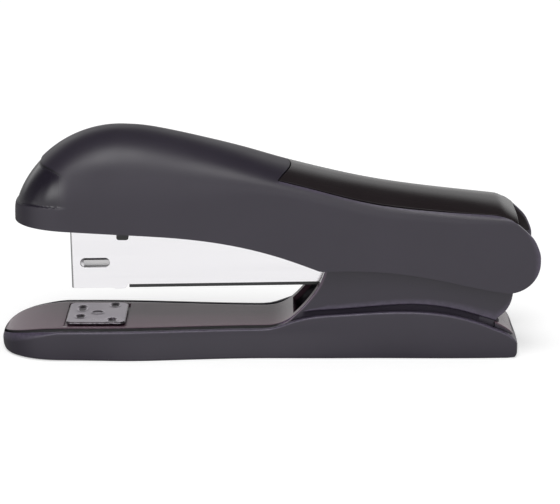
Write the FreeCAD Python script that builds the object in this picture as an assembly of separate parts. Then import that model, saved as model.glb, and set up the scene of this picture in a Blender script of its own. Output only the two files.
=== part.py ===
import FreeCAD, Part
import math
import os
from FreeCAD import Vector

# A full-strip desktop stapler, in millimetres.
# X runs from the nose to the hinge at the rear, Y across, Z up.
# The origin lies under the middle of the stapler, on the surface that it stands on.
# Rail parts are drawn level about the hinge axis and then tilted to their rest slope.
os.makedirs("parts", exist_ok=True)

# ---------------------------------------------------------------- driving sizes
# Hinge and overall stations
base_front_x = -74.4
base_rear_x = 69.6
head_front_x = -70.5
pivot_x = 65.6
pivot_z = 27.4
lobe_radius = 8.75

# Clearances
seat_gap = 0.3
pin_clearance = 0.06
groove_gap = 0.9

# Head shell
head_nose_length = 16.0
head_nose_power = 2.2
head_nose_angles = (88, 83, 76, 67, 56, 43, 28, 12)
head_nose_z = 40.0
head_half_width = 16.9
head_tail_half_width = 14.7
head_lower_z = 37.2
head_taper_x = -12.0
head_taper_end_x = 15.0
crest_x = -40.75
crest_z = 63.4
# Each pair is a run behind the crest and the back's fall below it.
back_falls = ((10.85, 1.1), (21.85, 3.4), (43.85, 9.3), (65.95, 14.6), (88.05, 17.9), (104.75, 19.8))
tail_fall = 20.5
rear_slope_bow = 1.3
recess_depth = 0.35
recess_end_x = -53.0
recess_top_z = 53.2
recess_top_end_z = 50.0
recess_low_z = 42.2
recess_low_end_z = 43.2
crown_power = 2.5
head_wall = 2.0
ear_wall = 1.5
grip_front_x = 6.2
grip_front_bow = 3.4
grip_rear_x = 66.2
grip_skin = 1.6
grip_flange = 1.0
lip_drop = 3.6
web_thickness = 1.2

# Base shell and its inner cover
deck_z = 8.4
rim_drop = 0.4
shell_half_width = 16.65
shell_waist_half_width = 13.4
shell_rear_half_width = 14.2
shell_bottom_z = 0.4
shell_wall = 1.7
shell_floor_z = 2.2
shell_floor = 1.5
base_nose_length = 17.0
base_nose_power = 2.1
rib_pitch = 22.0
rib_width = 1.4
cover_skin = 1.4
throat_x = -2.0
throat_top_x = 14.8
throat_top_z = 26.5
cheek_foot_x = 62.9
cheek_foot_z = 9.4
cheek_step = 0.5
cheek_step_rise = 1.5
hump_x = 37.5
hump_z = 13.6
back_wall_z = 17.4
slot_half_width = 8.0
slot_bottom_z = 13.0

# Steel base bracket
bracket_sheet = 1.0
bracket_strip_half_width = 8.0
bracket_front_x = -58.0
bracket_wide_x = 30.0
bracket_rear_x = 57.5
bracket_ear_inner = 8.95
ear_radius = 6.0

# Hinge pin
pin_radius = 2.0
pin_half_length = 12.2
washer_radius = 3.8
washer_thickness = 0.3
sleeve_radius = 3.4

# Magazine rail, its carrier strip, staple core and follower
rail_tilt = 0.9
rail_front = -120.1
rail_half_width = 7.3
rail_sheet = 0.9
rail_bottom = -7.3
rail_front_top = 8.7
rail_corner = 1.2
rail_eye_radius = 6.6
carrier_front = -104.6
carrier_rear = -9.0
carrier_sheet = 0.9
window_x = -113.45
window_z = -0.1
window_length = 8.2
window_height = 2.7
core_front = -116.7
core_rear = -12.0
core_half_width = 5.7
core_height = 5.8
core_sheet = 0.8
core_slot_half = 1.2
guide_radius = 0.8
guide_z = -2.9
follower_length = 8.0
follower_height = 3.0
follower_neck_half = 0.8
coil_radius = 1.5
coil_wire = 0.22
coil_pitch = 7.0

# Head frame, driver and bow spring
frame_half_width = 8.7
frame_sheet = 0.9
frame_front_x = -54.4
frame_front_z = 44.6
frame_rear_rise = 8.2
frame_flange_drop = 5.4
frame_shoulder_x = 40.0
tab_x = -40.1
tab_width = 3.3
tab_bottom_z = 32.3
driver_x = -52.4
driver_thickness = 0.6
driver_half_width = 6.0
driver_foot = 9.0
driver_rest_gap = 0.6
rivet_radius = 1.1
rivet_head_radius = 1.9
rivet_head = 0.5
rivet_half_pitch = 3.2
bow_front_x = -24.0
bow_rear_x = 30.0
bow_thickness = 0.5

# Lift spring under the rail
lift_half_width = 5.0
lift_thickness = 0.5
lift_root_x = 50.0
lift_tip_x = 20.0

# Anvil
anvil_x = -47.9
anvil_length = 16.4
anvil_width = 20.0
anvil_thickness = 0.6
anvil_corner = 1.6
anvil_float = 0.12
anvil_post_radius = 2.2
stake_radius = 1.9
stake_drop = 0.15
button_radius = 4.2
button_thickness = 1.3
button_clearance = 0.5
moat_width = 0.5
moat_depth = 0.5
trough_width = 2.0
trough_length = 4.2
trough_depth = 0.35
closed_trough_y = 4.0
open_trough_y = 7.6
trough_offset_x = 4.5

# Fasteners and feet
screw_radius = 1.3
screw_head_radius = 2.4
screw_head = 1.2
boss_radius = 2.4
boss_wall = 1.2
front_screw_x = -64.5
rear_screw_x = 64.2
rear_screw_y = 7.0
frame_screw_stations = (12.0, 44.0)
foot_radius = 2.6
foot_sink = 1.0
foot_stations = ((-58.0, 10.6), (47.5, 10.6))

# ---------------------------------------------------------------- values worked out
lobe_end_x = pivot_x + lobe_radius
floor_top_z = shell_floor_z + shell_floor
cover_front_x = base_front_x + shell_wall + groove_gap
cover_rear_x = base_rear_x - shell_wall - groove_gap
cover_bottom_z = floor_top_z + seat_gap
bracket_z = floor_top_z + seat_gap
bracket_top_z = bracket_z + bracket_sheet
bracket_half_width = bracket_ear_inner + bracket_sheet
cheek_half_width = shell_rear_half_width - shell_wall - groove_gap
grip_half_width = head_tail_half_width - ear_wall - seat_gap
rail_floor_top = rail_bottom + carrier_sheet + rail_sheet
core_top = rail_floor_top + core_height
frame_inner = frame_half_width - frame_sheet
pin_hole = pin_radius + pin_clearance
wide = 40.0


# ---------------------------------------------------------------- small helpers
def export(shape, name):
    """Write one sub-part as a STEP file."""
    shape.exportStep("parts/" + name + ".step")


def block(x0, x1, y0, y1, z0, z1):
    """Return the block between two corners."""
    return Part.makeBox(x1 - x0, y1 - y0, z1 - z0, Vector(x0, y0, z0))


def upright(x, y, radius, z0, z1):
    """Return a round bar that stands along Z."""
    return Part.makeCylinder(radius, z1 - z0, Vector(x, y, z0))


def crossbar(x, z, radius, y0, y1):
    """Return a round bar that runs across the stapler."""
    return Part.makeCylinder(radius, y1 - y0, Vector(x, y0, z), Vector(0, 1, 0))


def lengthwise_bar(z, radius, x0, x1):
    """Return a round bar that runs along the stapler in its middle plane."""
    return Part.makeCylinder(radius, x1 - x0, Vector(x0, 0, z), Vector(1, 0, 0))


def mirrored(shape):
    """Return a shape together with its mirror image across the middle plane."""
    return shape.fuse(shape.mirror(Vector(0, 0, 0), Vector(0, 1, 0)))


def group(shapes):
    """Return separate solids as one sub-part."""
    return Part.makeCompound(shapes)


def side_points(pairs):
    """Return side-outline points at Y = 0 from (x, z) pairs."""
    return [Vector(x, 0, z) for x, z in pairs]


def line(first, second):
    """Return a straight edge of a side outline."""
    start, end = side_points([first, second])
    return Part.makeLine(start, end)


def arc(first, middle, last):
    """Return an arc edge of a side outline."""
    start, centre, end = side_points([first, middle, last])
    return Part.Arc(start, centre, end).toShape()


def smooth(pairs):
    """Return a smooth edge of a side outline."""
    curve = Part.BSplineCurve()
    curve.interpolate(side_points(pairs))
    return curve.toShape()


def slab(edges, y0, y1):
    """Extrude a closed side outline across the stapler."""
    face = Part.Face(Part.Wire(edges))
    face.translate(Vector(0, y0, 0))
    return face.extrude(Vector(0, y1 - y0, 0))


def straight_slab(pairs, y0, y1):
    """Extrude a closed side outline made of straight lines."""
    points = side_points(pairs)
    points.append(points[0])
    face = Part.Face(Part.makePolygon(points))
    face.translate(Vector(0, y0, 0))
    return face.extrude(Vector(0, y1 - y0, 0))


class Profile:
    """A smooth value that changes along X, drawn through a few points."""

    def __init__(self, pairs):
        self.curve = Part.BSplineCurve()
        self.curve.interpolate(side_points(pairs))

    def at(self, x):
        """Return the value at x, found by halving the curve's parameter range."""
        low = self.curve.FirstParameter
        high = self.curve.LastParameter
        for _ in range(40):
            middle = (low + high) / 2
            if self.curve.value(middle).x < x:
                low = middle
            else:
                high = middle
        return self.curve.value(low).z


def nose_stations(front_x, length, power, angles):
    """Return (x, share of the full width) pairs down a rounded nose."""
    stations = []
    for angle in angles:
        sine = math.sin(math.radians(angle)) ** (2 / power)
        cosine = math.cos(math.radians(angle)) ** (2 / power)
        stations.append((front_x + length * (1 - sine), cosine))
    return stations


def even_stations(first, last, count):
    """Return evenly spaced stations, both ends included."""
    step = (last - first) / (count - 1)
    return [first + step * index for index in range(count)]


def tilted(shape):
    """Carry a rail part, drawn level about the hinge axis, to its place at rest."""
    placed = shape.copy()
    placed.rotate(Vector(0, 0, 0), Vector(0, 1, 0), -rail_tilt)
    placed.translate(Vector(pivot_x, 0, pivot_z))
    return placed


def rail_place(x, z):
    """Return where a point of the level rail drawing lies at rest."""
    angle = math.radians(rail_tilt)
    return (pivot_x + x * math.cos(angle) - z * math.sin(angle),
            pivot_z + x * math.sin(angle) + z * math.cos(angle))


# ---------------------------------------------------------------- head shell
head_width = Profile([(head_front_x - 1, head_half_width), (crest_x, head_half_width),
                      (head_taper_x, (head_half_width + head_tail_half_width) / 2),
                      (head_taper_end_x, head_tail_half_width + 0.1),
                      (lobe_end_x + 2, head_tail_half_width)])
head_back = Profile([(crest_x, crest_z)] + [(crest_x + run, crest_z - fall) for run, fall in back_falls]
                    + [(lobe_end_x + 2, crest_z - tail_fall)])
shoulder_rise = Profile([(head_front_x - 1, 3.0), (head_front_x + 12.5, 15.5), (crest_x, 19.7),
                         (crest_x + 25.75, 17.0), (grip_front_x, 12.4), (grip_front_x + 29.8, 9.2),
                         (lobe_end_x + 2, 8.2)])


def head_top(x):
    """Height of the head's back line: a rounded nose, then a long falling tail."""
    if x >= crest_x:
        return head_back.at(x)
    reach = min(1.0, (crest_x - x) / (crest_x - head_front_x))
    return head_nose_z + (crest_z - head_nose_z) * (1 - reach ** 2) ** (2 / 3)


def lip_line(x):
    """Height of the side walls' upper lip beside the grip."""
    return head_top(x) - lip_drop


def head_section(x, half_width, top, rise):
    """One closed cross-section: straight sides and a crowned, superelliptic top."""
    foot_z = pivot_z - lobe_radius - 4
    count = 12
    crown = []
    for index in range(count + 1):
        angle = math.pi * index / count
        cosine = math.cos(angle)
        across = math.copysign(abs(cosine) ** (2 / crown_power), cosine)
        up = abs(math.sin(angle)) ** (2 / crown_power)
        crown.append(Vector(x, half_width * across, top - rise + rise * up))
    crown[0].z = top - rise
    crown[count].z = top - rise
    curve = Part.BSplineCurve()
    curve.interpolate(crown)
    right = Vector(x, half_width, foot_z)
    left = Vector(x, -half_width, foot_z)
    edges = [Part.makeLine(right, crown[0]), curve.toShape(), Part.makeLine(crown[count], left),
             Part.makeLine(left, right)]
    return Part.Wire(edges)


def nose_section(x, share, inset):
    """One cross-section of the nose, where the width and the height close in together."""
    half_width = (head_width.at(x) - inset) * share
    top = head_top(x - inset / 2) - inset
    return head_section(x, half_width, top, min(shoulder_rise.at(x), top - head_lower_z + 3))


def head_body(inset):
    """The head's full outer form, or the form that lies inside it by inset."""
    sections = []
    front_x = head_front_x + inset
    for x, share in nose_stations(front_x, head_nose_length, head_nose_power, head_nose_angles):
        sections.append(nose_section(x, share, inset))
    for x in even_stations(front_x + head_nose_length + 4, lobe_end_x + 1, 12):
        sections.append(head_section(x, head_width.at(x) - inset, head_top(x) - inset, shoulder_rise.at(x)))
    return Part.makeLoft(sections, True, False)


def nose_recess(form):
    """What is scooped out between the nose's two seams: deepest in front and fading rearwards."""
    stations = nose_stations(head_front_x, head_nose_length, head_nose_power, head_nose_angles)
    stations.append((crest_x, 1.0))
    sections = []
    for x, share in stations:
        depth = recess_depth * (recess_end_x - x) / (recess_end_x - head_front_x)
        sections.append(nose_section(x, share, depth))
    core = Part.makeLoft(sections, True, False)
    core.translate(Vector(recess_depth, 0, 0))
    front_x = head_front_x - 1
    upper = [(front_x, recess_top_z), (recess_end_x - 8.5, recess_top_z),
             (recess_end_x - 4.6, recess_top_z - 1.0), (recess_end_x, recess_top_end_z)]
    lower = [(recess_end_x, recess_low_end_z), (recess_end_x - 10, recess_low_end_z),
             (front_x, recess_low_z)]
    band = slab([smooth(upper), line(upper[-1], lower[0]), smooth(lower), line(lower[-1], upper[0])],
                -wide, wide)
    return form.common(band).cut(core.common(band))


def head_side():
    """Side outline of the head: its lower edge, the lobe round the hinge and its back."""
    front = (head_front_x - 4, head_lower_z)
    corner = (throat_top_x - 0.6, throat_top_z - 1.6)
    lobe_low = (pivot_x, pivot_z - lobe_radius)
    diagonal = lobe_radius * math.sqrt(0.5)
    lobe_end = (lobe_end_x, pivot_z)
    back_top = (grip_rear_x - 1.9, head_back.at(grip_rear_x) - 0.1)
    ceiling = crest_z + 10
    tail_middle = ((lobe_end_x + back_top[0]) / 2 + rear_slope_bow, (pivot_z + back_top[1]) / 2)
    edges = [smooth([front, (head_front_x + 8.5, head_lower_z - 0.2), (crest_x - 2.25, head_lower_z - 1.2),
                     (crest_x + 22.25, head_lower_z - 3.2),
                     (throat_top_x - 11.6, throat_top_z + 2.5), corner]),
             smooth([corner, (throat_top_x + 10.2, throat_top_z - 1.5), (pivot_x - 18.7, pivot_z - 5.0),
                     (pivot_x - 7.6, pivot_z - 7.4), lobe_low]),
             arc(lobe_low, (pivot_x + diagonal, pivot_z - diagonal), lobe_end),
             smooth([lobe_end, tail_middle, back_top]),
             line(back_top, (back_top[0], ceiling)),
             line((back_top[0], ceiling), (front[0], ceiling)),
             line((front[0], ceiling), front)]
    return slab(edges, -wide, wide)


def grip_column(half_width, front_x):
    """Upright block over the grip's place, with its bowed front end."""
    low = pivot_z - lobe_radius - 5
    rear = lobe_end_x + 5
    front_left = Vector(front_x - grip_front_bow, -half_width, low)
    front_middle = Vector(front_x, 0, low)
    front_right = Vector(front_x - grip_front_bow, half_width, low)
    rear_right = Vector(rear, half_width, low)
    rear_left = Vector(rear, -half_width, low)
    edges = [Part.Arc(front_left, front_middle, front_right).toShape(),
             Part.makeLine(front_right, rear_right), Part.makeLine(rear_right, rear_left),
             Part.makeLine(rear_left, front_left)]
    return Part.Face(Part.Wire(edges)).extrude(Vector(0, 0, crest_z))


def under_web_z(x):
    """Height of the underside of the web that carries the grip."""
    return lip_line(x) - grip_skin - seat_gap - web_thickness


def head_web():
    """Cross web under the grip, with the bulkhead that ties it to the hump's roof."""
    front = grip_front_x - grip_front_bow - 2 * head_wall
    half = head_tail_half_width - ear_wall / 2
    lower = [(x, under_web_z(x)) for x in even_stations(front, pivot_x - lobe_radius, 5)]
    upper = [(x, z + web_thickness) for x, z in lower]
    edges = [smooth(upper), line(upper[-1], lower[-1]), smooth(lower), line(lower[0], upper[0])]
    bulkhead = block(front, front + web_thickness, -half, half, lower[0][1], crest_z)
    return slab(edges, -half, half).fuse(bulkhead)


def frame_top_z(x):
    """Height of the top of the steel frame, which falls towards the hinge."""
    share = (x - frame_front_x) / (pivot_x - frame_front_x)
    return frame_front_z + (pivot_z + frame_rear_rise - frame_front_z) * share


def frame_posts(radius):
    """Round posts between the web and the steel frame, for the frame screws."""
    return [upright(x, 0, radius, frame_top_z(x) + seat_gap, under_web_z(x) + web_thickness / 2)
            for x in frame_screw_stations]


def head_cover(outer):
    """Moulded head shell, open below, with a pocket for the grip."""
    pocket = grip_column(grip_half_width + seat_gap, grip_front_x - seat_gap)
    shell = outer.cut(head_body(head_wall)).cut(pocket)
    shell = shell.fuse(head_web().common(outer)).fuse(frame_posts(boss_radius))
    return shell.cut(frame_posts(screw_radius)).removeSplitter()


def top_grip(outer):
    """Crowned grip let into the head, with two flanges that line its open rear."""
    blank = outer.common(grip_column(grip_half_width, grip_front_x))
    skin = blank.cut(head_body(grip_skin))
    stations = even_stations(grip_front_x - grip_front_bow - 1, grip_rear_x, 6)
    skirt = [(x, lip_line(x) - grip_skin) for x in stations]
    front_top = (stations[0], crest_z)
    rear_top = (stations[-1], crest_z)
    skin = skin.common(slab([smooth(skirt), line(skirt[-1], rear_top), line(rear_top, front_top),
                             line(front_top, skirt[0])], -wide, wide))
    flange_front = grip_rear_x - 4
    flange = blank.common(block(flange_front, lobe_end_x, grip_half_width - grip_flange, grip_half_width,
                                pivot_z, crest_z))
    flange = flange.cut(crossbar(pivot_x, pivot_z, rail_eye_radius + 2 * seat_gap, -wide, wide))
    flange = flange.cut(straight_slab([(flange_front, pivot_z), (lobe_end_x, pivot_z),
                                       (flange_front, lip_line(flange_front) - 2 * grip_skin)], -wide, wide))
    return skin.fuse(mirrored(flange)).removeSplitter()


# ---------------------------------------------------------------- head frame and driver
def head_frame():
    """Bent steel channel that straddles the rail and carries the driver."""
    rear_x = pivot_x - ear_radius
    top_front = (frame_front_x, frame_top_z(frame_front_x))
    top_rear = (rear_x, frame_top_z(rear_x))
    under_front = (frame_front_x, top_front[1] - frame_sheet)
    under_rear = (rear_x, top_rear[1] - frame_sheet)
    web = straight_slab([top_front, top_rear, under_rear, under_front], -frame_half_width, frame_half_width)
    nose_x = frame_front_x + 4
    diagonal = ear_radius * math.sqrt(0.5)
    flange = straight_slab([top_front, top_rear, (pivot_x, pivot_z + ear_radius), (pivot_x, pivot_z),
                            (pivot_x - diagonal, pivot_z - diagonal),
                            (frame_shoulder_x, frame_top_z(frame_shoulder_x) - frame_flange_drop),
                            (nose_x, frame_top_z(nose_x) - frame_flange_drop), under_front],
                           frame_inner, frame_half_width)
    eye = crossbar(pivot_x, pivot_z, ear_radius, frame_inner, frame_half_width)
    tab = block(tab_x - tab_width / 2, tab_x + tab_width / 2, frame_inner, frame_half_width,
                tab_bottom_z, frame_top_z(tab_x) - frame_sheet)
    corners = [edge for edge in tab.Edges
               if edge.BoundBox.ZMax < tab_bottom_z + 0.1 and edge.BoundBox.XLength < 0.1]
    tab = tab.makeFillet(tab_width / 5, corners)
    frame = web.fuse(mirrored(flange.fuse([eye, tab])))
    frame = frame.cut(crossbar(pivot_x, pivot_z, pin_hole, -wide, wide))
    holes = [(x, 0, screw_radius) for x in frame_screw_stations]
    holes += [(x, y, rivet_radius) for x, y in rivet_stations()]
    for x, y, radius in holes:
        frame = frame.cut(upright(x, y, radius + pin_clearance, frame_top_z(x) - 3, frame_top_z(x) + 3))
    return frame.removeSplitter()


def driver_tip_z():
    """Height of the driver's tip at rest, just above the staples."""
    return rail_place(rail_front, core_top)[1] + driver_rest_gap


def driver_blade():
    """Blade that pushes one staple out, with a foot bent back under the frame's web."""
    rear_x = driver_x + driver_thickness
    foot_x = driver_x + driver_foot
    outline = [(driver_x, driver_tip_z()), (rear_x, driver_tip_z())]
    for x, drop in ((rear_x, driver_thickness), (foot_x, driver_thickness), (foot_x, 0), (driver_x, 0)):
        outline.append((x, frame_top_z(x) - frame_sheet - pin_clearance - drop))
    blade = straight_slab(outline, -driver_half_width, driver_half_width)
    for x, y in rivet_stations():
        hole = upright(x, y, rivet_radius + pin_clearance, frame_top_z(x) - 4, frame_top_z(x) + 1)
        blade = blade.cut(hole)
    return blade


def rivet_stations():
    """Places of the two rivets that hold the driver's foot."""
    x = driver_x + driver_foot * 0.6
    return [(x, -rivet_half_pitch), (x, rivet_half_pitch)]


def driver_rivets():
    """Two rivets through the frame's web and the driver's foot, heads on both sides."""
    rivets = []
    for x, y in rivet_stations():
        slope = frame_top_z(x) - frame_top_z(x + rivet_head_radius)
        low = frame_top_z(x) - frame_sheet - driver_thickness - pin_clearance - slope - seat_gap / 2
        high = frame_top_z(x) + slope + seat_gap / 2
        stem = upright(x, y, rivet_radius, low, high)
        upper = upright(x, y, rivet_head_radius, high, high + rivet_head)
        lower = upright(x, y, rivet_head_radius, low - rivet_head, low)
        rivets.append(stem.fuse([upper, lower]).removeSplitter())
    return group(rivets)


def frame_screws():
    """Screws that hold the steel frame under the head shell's posts."""
    screws = []
    for x in frame_screw_stations:
        fall = (frame_top_z(x) - frame_top_z(x + screw_head_radius))
        head_top = frame_top_z(x) - frame_sheet - fall - seat_gap / 2
        stem = upright(x, 0, screw_radius - pin_clearance, head_top, frame_top_z(x) + seat_gap + 1.4)
        screws.append(stem.fuse(upright(x, 0, screw_head_radius, head_top - screw_head / 2, head_top)))
    return group(screws)


def rail_top_z(x):
    """Height of the rail's upper edge at rest, at station x."""
    level = x - pivot_x
    share = level / rail_front
    return rail_place(level, rail_eye_radius + (rail_front_top - rail_eye_radius) * share)[1]


def bow_spring():
    """Bowed leaf that lifts the head off the rail."""
    middle = (bow_front_x + bow_rear_x) / 2
    half_way = [(bow_front_x + middle) / 2, (middle + bow_rear_x) / 2]
    low = (middle, rail_top_z(middle) + seat_gap + bow_thickness)
    ends = [(x, frame_top_z(x) - frame_sheet - seat_gap) for x in (bow_front_x, bow_rear_x)]
    knees = [(x, 0.3 * end[1] + 0.7 * low[1]) for x, end in zip(half_way, ends)]
    upper = [ends[0], knees[0], low, knees[1], ends[1]]
    lower = [(x, z - bow_thickness) for x, z in upper]
    edges = [smooth(upper), line(upper[-1], lower[-1]), smooth(lower), line(lower[0], upper[0])]
    return slab(edges, -rail_half_width + seat_gap, rail_half_width - seat_gap)


# ---------------------------------------------------------------- magazine
def magazine_rail():
    """Bright channel, open above, with a closed front, staple mouth and side windows."""
    floor_under = rail_bottom + carrier_sheet
    step = 0.6
    lug = 3.5
    side = [(rail_front, rail_bottom), (carrier_front - lug - step, rail_bottom),
            (carrier_front - lug, rail_bottom - seat_gap),
            (carrier_front - step, rail_bottom - seat_gap),
            (carrier_front, floor_under), (0, floor_under), (0, rail_eye_radius),
            (rail_front, rail_front_top)]
    channel = straight_slab(side, -rail_half_width, rail_half_width)
    front_edges = [edge for edge in channel.Edges
                   if edge.BoundBox.XMax < rail_front + 0.1 and edge.BoundBox.ZLength > rail_front_top]
    channel = channel.makeFillet(rail_corner, front_edges)
    channel = channel.fuse(crossbar(0, 0, rail_eye_radius, -rail_half_width, rail_half_width))
    inner = rail_half_width - rail_sheet
    hollow = block(rail_front + rail_sheet, rail_eye_radius + 1, -inner, inner, rail_floor_top, wide)
    mouth = block(rail_front + rail_sheet, core_front + core_sheet, -inner, inner, rail_bottom - 2, wide)
    skirt = block(core_front, carrier_front + 1, -inner, inner, rail_bottom - 2, floor_under)
    rear = block(0, rail_eye_radius + 1, -inner, inner, -wide, wide)
    channel = channel.cut([hollow, mouth, skirt, rear])
    channel = channel.cut(crossbar(0, 0, pin_hole, -wide, wide))
    end = window_height / 2
    reach = window_length / 2 - end
    window = block(window_x - reach, window_x + reach, -wide, wide, window_z - end, window_z + end)
    for x in (window_x - reach, window_x + reach):
        window = window.fuse(crossbar(x, window_z, end, -wide, wide))
    return tilted(channel.cut(window).removeSplitter())


def rail_carrier():
    """Dark strip under the rail that stiffens it."""
    edge = rail_half_width
    strip = block(carrier_front + 0.4, carrier_rear, -edge, edge, rail_bottom, rail_bottom + carrier_sheet)
    return tilted(strip)


def staple_core():
    """Slotted inner channel that the staples sit astride, with an end wall at each end."""
    inner = core_half_width - core_sheet
    body = block(core_front, core_rear, -core_half_width, core_half_width, rail_floor_top, core_top)
    front = core_front + core_sheet
    rear = core_rear - core_sheet
    hollow = block(front, rear, -inner, inner, rail_floor_top, core_top - core_sheet)
    slot = block(front, rear, -core_slot_half, core_slot_half, rail_floor_top, core_top)
    bore = lengthwise_bar(guide_z, guide_radius + pin_clearance, core_front, core_rear)
    return tilted(body.cut([hollow, slot, bore]).removeSplitter())


def guide_rod():
    """Straight rod inside the core, for the follower and its spring."""
    return tilted(lengthwise_bar(guide_z, guide_radius, core_front, core_rear))


def staple_follower():
    """Saddle that pushes the staples, joined through the slot to a slider on the rod."""
    front = core_front + core_sheet + seat_gap
    rear = front + follower_length
    half = rail_half_width - rail_sheet - seat_gap
    saddle = block(front, rear, -half, half, core_top + seat_gap, core_top + seat_gap + follower_height)
    rear_edges = [edge for edge in saddle.Edges
                  if edge.BoundBox.ZMin > core_top + 1 and edge.BoundBox.XMin > rear - 0.1]
    saddle = saddle.makeChamfer(follower_height * 0.6, rear_edges)
    inner_half = core_half_width - core_sheet - seat_gap
    slider = block(front, rear, -inner_half, inner_half, rail_floor_top + seat_gap,
                   core_top - core_sheet - seat_gap)
    neck = block(front, rear, -follower_neck_half, follower_neck_half, rail_floor_top + seat_gap,
                 core_top + seat_gap + follower_height / 2)
    bore = lengthwise_bar(guide_z, guide_radius + pin_clearance, front - 1, rear + 1)
    return tilted(saddle.fuse([slider, neck]).cut(bore).removeSplitter())


def follower_spring():
    """Compression spring on the rod, between the slider and the core's rear wall."""
    front = core_front + core_sheet + seat_gap + follower_length + seat_gap + coil_wire
    rear = core_rear - core_sheet - seat_gap - coil_wire
    helix = Part.makeHelix(coil_pitch, rear - front, coil_radius)
    profile = Part.Wire(Part.makeCircle(coil_wire, Vector(coil_radius, 0, 0), Vector(0, 1, 0)))
    coil = Part.Wire(helix.Edges).makePipeShell([profile], True, True)
    coil.rotate(Vector(0, 0, 0), Vector(0, 1, 0), 90)
    coil.translate(Vector(front, 0, guide_z))
    return tilted(coil)


# ---------------------------------------------------------------- base shell and cover
shell_width = Profile([(base_front_x - 1, shell_half_width), (base_front_x + 17.4, shell_half_width),
                       (base_front_x + 28.4, shell_half_width),
                       (throat_x - 23.0, (shell_half_width + shell_waist_half_width) / 2),
                       (throat_x, shell_waist_half_width), (throat_x + 17.0, shell_waist_half_width + 0.4),
                       (hump_x - 2.5, shell_rear_half_width), (base_rear_x - 11.6, shell_rear_half_width),
                       (base_rear_x + 1, shell_rear_half_width - 0.6)])


def plan_prism(front_x, rear_x, reduce, z0, z1):
    """Upright prism with the base's plan form: a rounded nose, a waist and a broad rear."""
    side = []
    angles = (84, 74, 62, 49, 36, 22, 10)
    for x, share in nose_stations(front_x, base_nose_length, base_nose_power, angles):
        side.append((x, (shell_width.at(x) - reduce) * share))
    for x in even_stations(front_x + base_nose_length + 3, rear_x, 10):
        side.append((x, shell_width.at(x) - reduce))
    left = Part.BSplineCurve()
    left.interpolate([Vector(x, y, z0) for x, y in side])
    right = Part.BSplineCurve()
    right.interpolate([Vector(x, -y, z0) for x, y in side])
    tip = Part.Arc(right.value(right.FirstParameter), Vector(front_x, 0, z0),
                   left.value(left.FirstParameter))
    rear = Part.makeLine(left.value(left.LastParameter), right.value(right.LastParameter))
    wire = Part.Wire(Part.__sortEdges__([tip.toShape(), left.toShape(), rear, right.toShape()]))
    return Part.Face(wire).extrude(Vector(0, 0, z1 - z0))


def shell_prism(inset, z0, z1):
    """The outer shell's plan form, inset all round."""
    return plan_prism(base_front_x + inset, base_rear_x - inset, inset, z0, z1)


def cover_prism(inset, z0, z1):
    """The inner cover's plan form, inset all round."""
    reduce = shell_wall + groove_gap + inset
    return plan_prism(cover_front_x + inset, cover_rear_x - inset, reduce, z0, z1)


def hump_line(rise):
    """Points of the rim's rise beside the cheeks and its fall to the tail, raised by rise."""
    rim_z = deck_z - rim_drop
    points = [(throat_x - 2, rim_z), (throat_x + 3.0, rim_z + 0.5), (throat_x + 7.0, rim_z + 2.4),
              (throat_x + 11.5, rim_z + 3.9), (hump_x - 17.9, hump_z - 0.8), (hump_x, hump_z),
              (base_rear_x - 19.9, hump_z - 1.1), (base_rear_x - 8.8, hump_z - 4.1),
              (base_rear_x - 3.3, hump_z - 7.4), (base_rear_x, hump_z - 10.7)]
    return [(x, z + rise) for x, z in points]


def shell_side():
    """Side outline of the outer shell: upturned nose, level rim, hump and rounded tail."""
    hump = hump_line(0)
    rim_rear = hump[0]
    tail = hump[-1]
    rim_z = rim_rear[1]
    nose_tip = (base_front_x, 2.9)
    rim_front = (base_front_x + base_nose_length, rim_z)
    heel = (base_rear_x - 2.2, shell_bottom_z)
    keel = (base_front_x + base_nose_length, shell_bottom_z)
    edges = [smooth([nose_tip, (base_front_x + 1.4, 5.2), (base_front_x + 5.5, rim_z - 0.8), rim_front]),
             line(rim_front, rim_rear), smooth(hump), line(tail, heel), line(heel, keel),
             smooth([keel, (base_front_x + 8, shell_bottom_z + 0.6), (base_front_x + 2, shell_bottom_z + 1.6),
                     nose_tip])]
    return slab(edges, -wide, wide)


def base_shell():
    """Outer base shell: a boat-shaped wall with a floor, ribs below and a rounded rim."""
    outer = shell_prism(0, 0, crest_z).common(shell_side())
    upper = shell_prism(shell_wall, floor_top_z, crest_z)
    shell = outer.cut(upper)
    recess = shell_prism(shell_wall, -1, shell_floor_z)
    bays = []
    count = int((base_rear_x - base_front_x) // rib_pitch) + 1
    for index in range(count):
        x = base_front_x + index * rib_pitch
        bays.append(block(x + rib_width / 2, x + rib_pitch - rib_width / 2, -wide, wide, -1, shell_floor_z))
    pockets = group(bays).common(recess)
    button_hole = button_radius + button_clearance
    bosses = [(anvil_x, 0, button_hole)]
    holes = [upright(anvil_x, 0, button_hole, -1, wide)]
    for x, y in base_screw_places():
        bosses.append((x, y, boss_radius))
        holes.append(upright(x, y, screw_radius + pin_clearance, -1, wide))
        holes.append(upright(x, y, screw_head_radius + seat_gap, -1, shell_floor_z))
    for x, y in foot_places():
        bosses.append((x, y, foot_radius))
        holes.append(upright(x, y, foot_radius + pin_clearance, -1, shell_bottom_z + foot_sink))
    shell = shell.cut(pockets)
    shell = shell.fuse([upright(x, y, radius + boss_wall, shell_bottom_z, floor_top_z)
                        for x, y, radius in bosses])
    return shell.cut(holes).removeSplitter()


def base_screw_places():
    """Places of the three screws that hold the cover to the shell from below."""
    return [(front_screw_x, 0), (rear_screw_x, rear_screw_y), (rear_screw_x, -rear_screw_y)]


def foot_places():
    """Places of the four rubber feet."""
    return [(x, side * y) for x, y in foot_stations for side in (-1, 1)]


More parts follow.
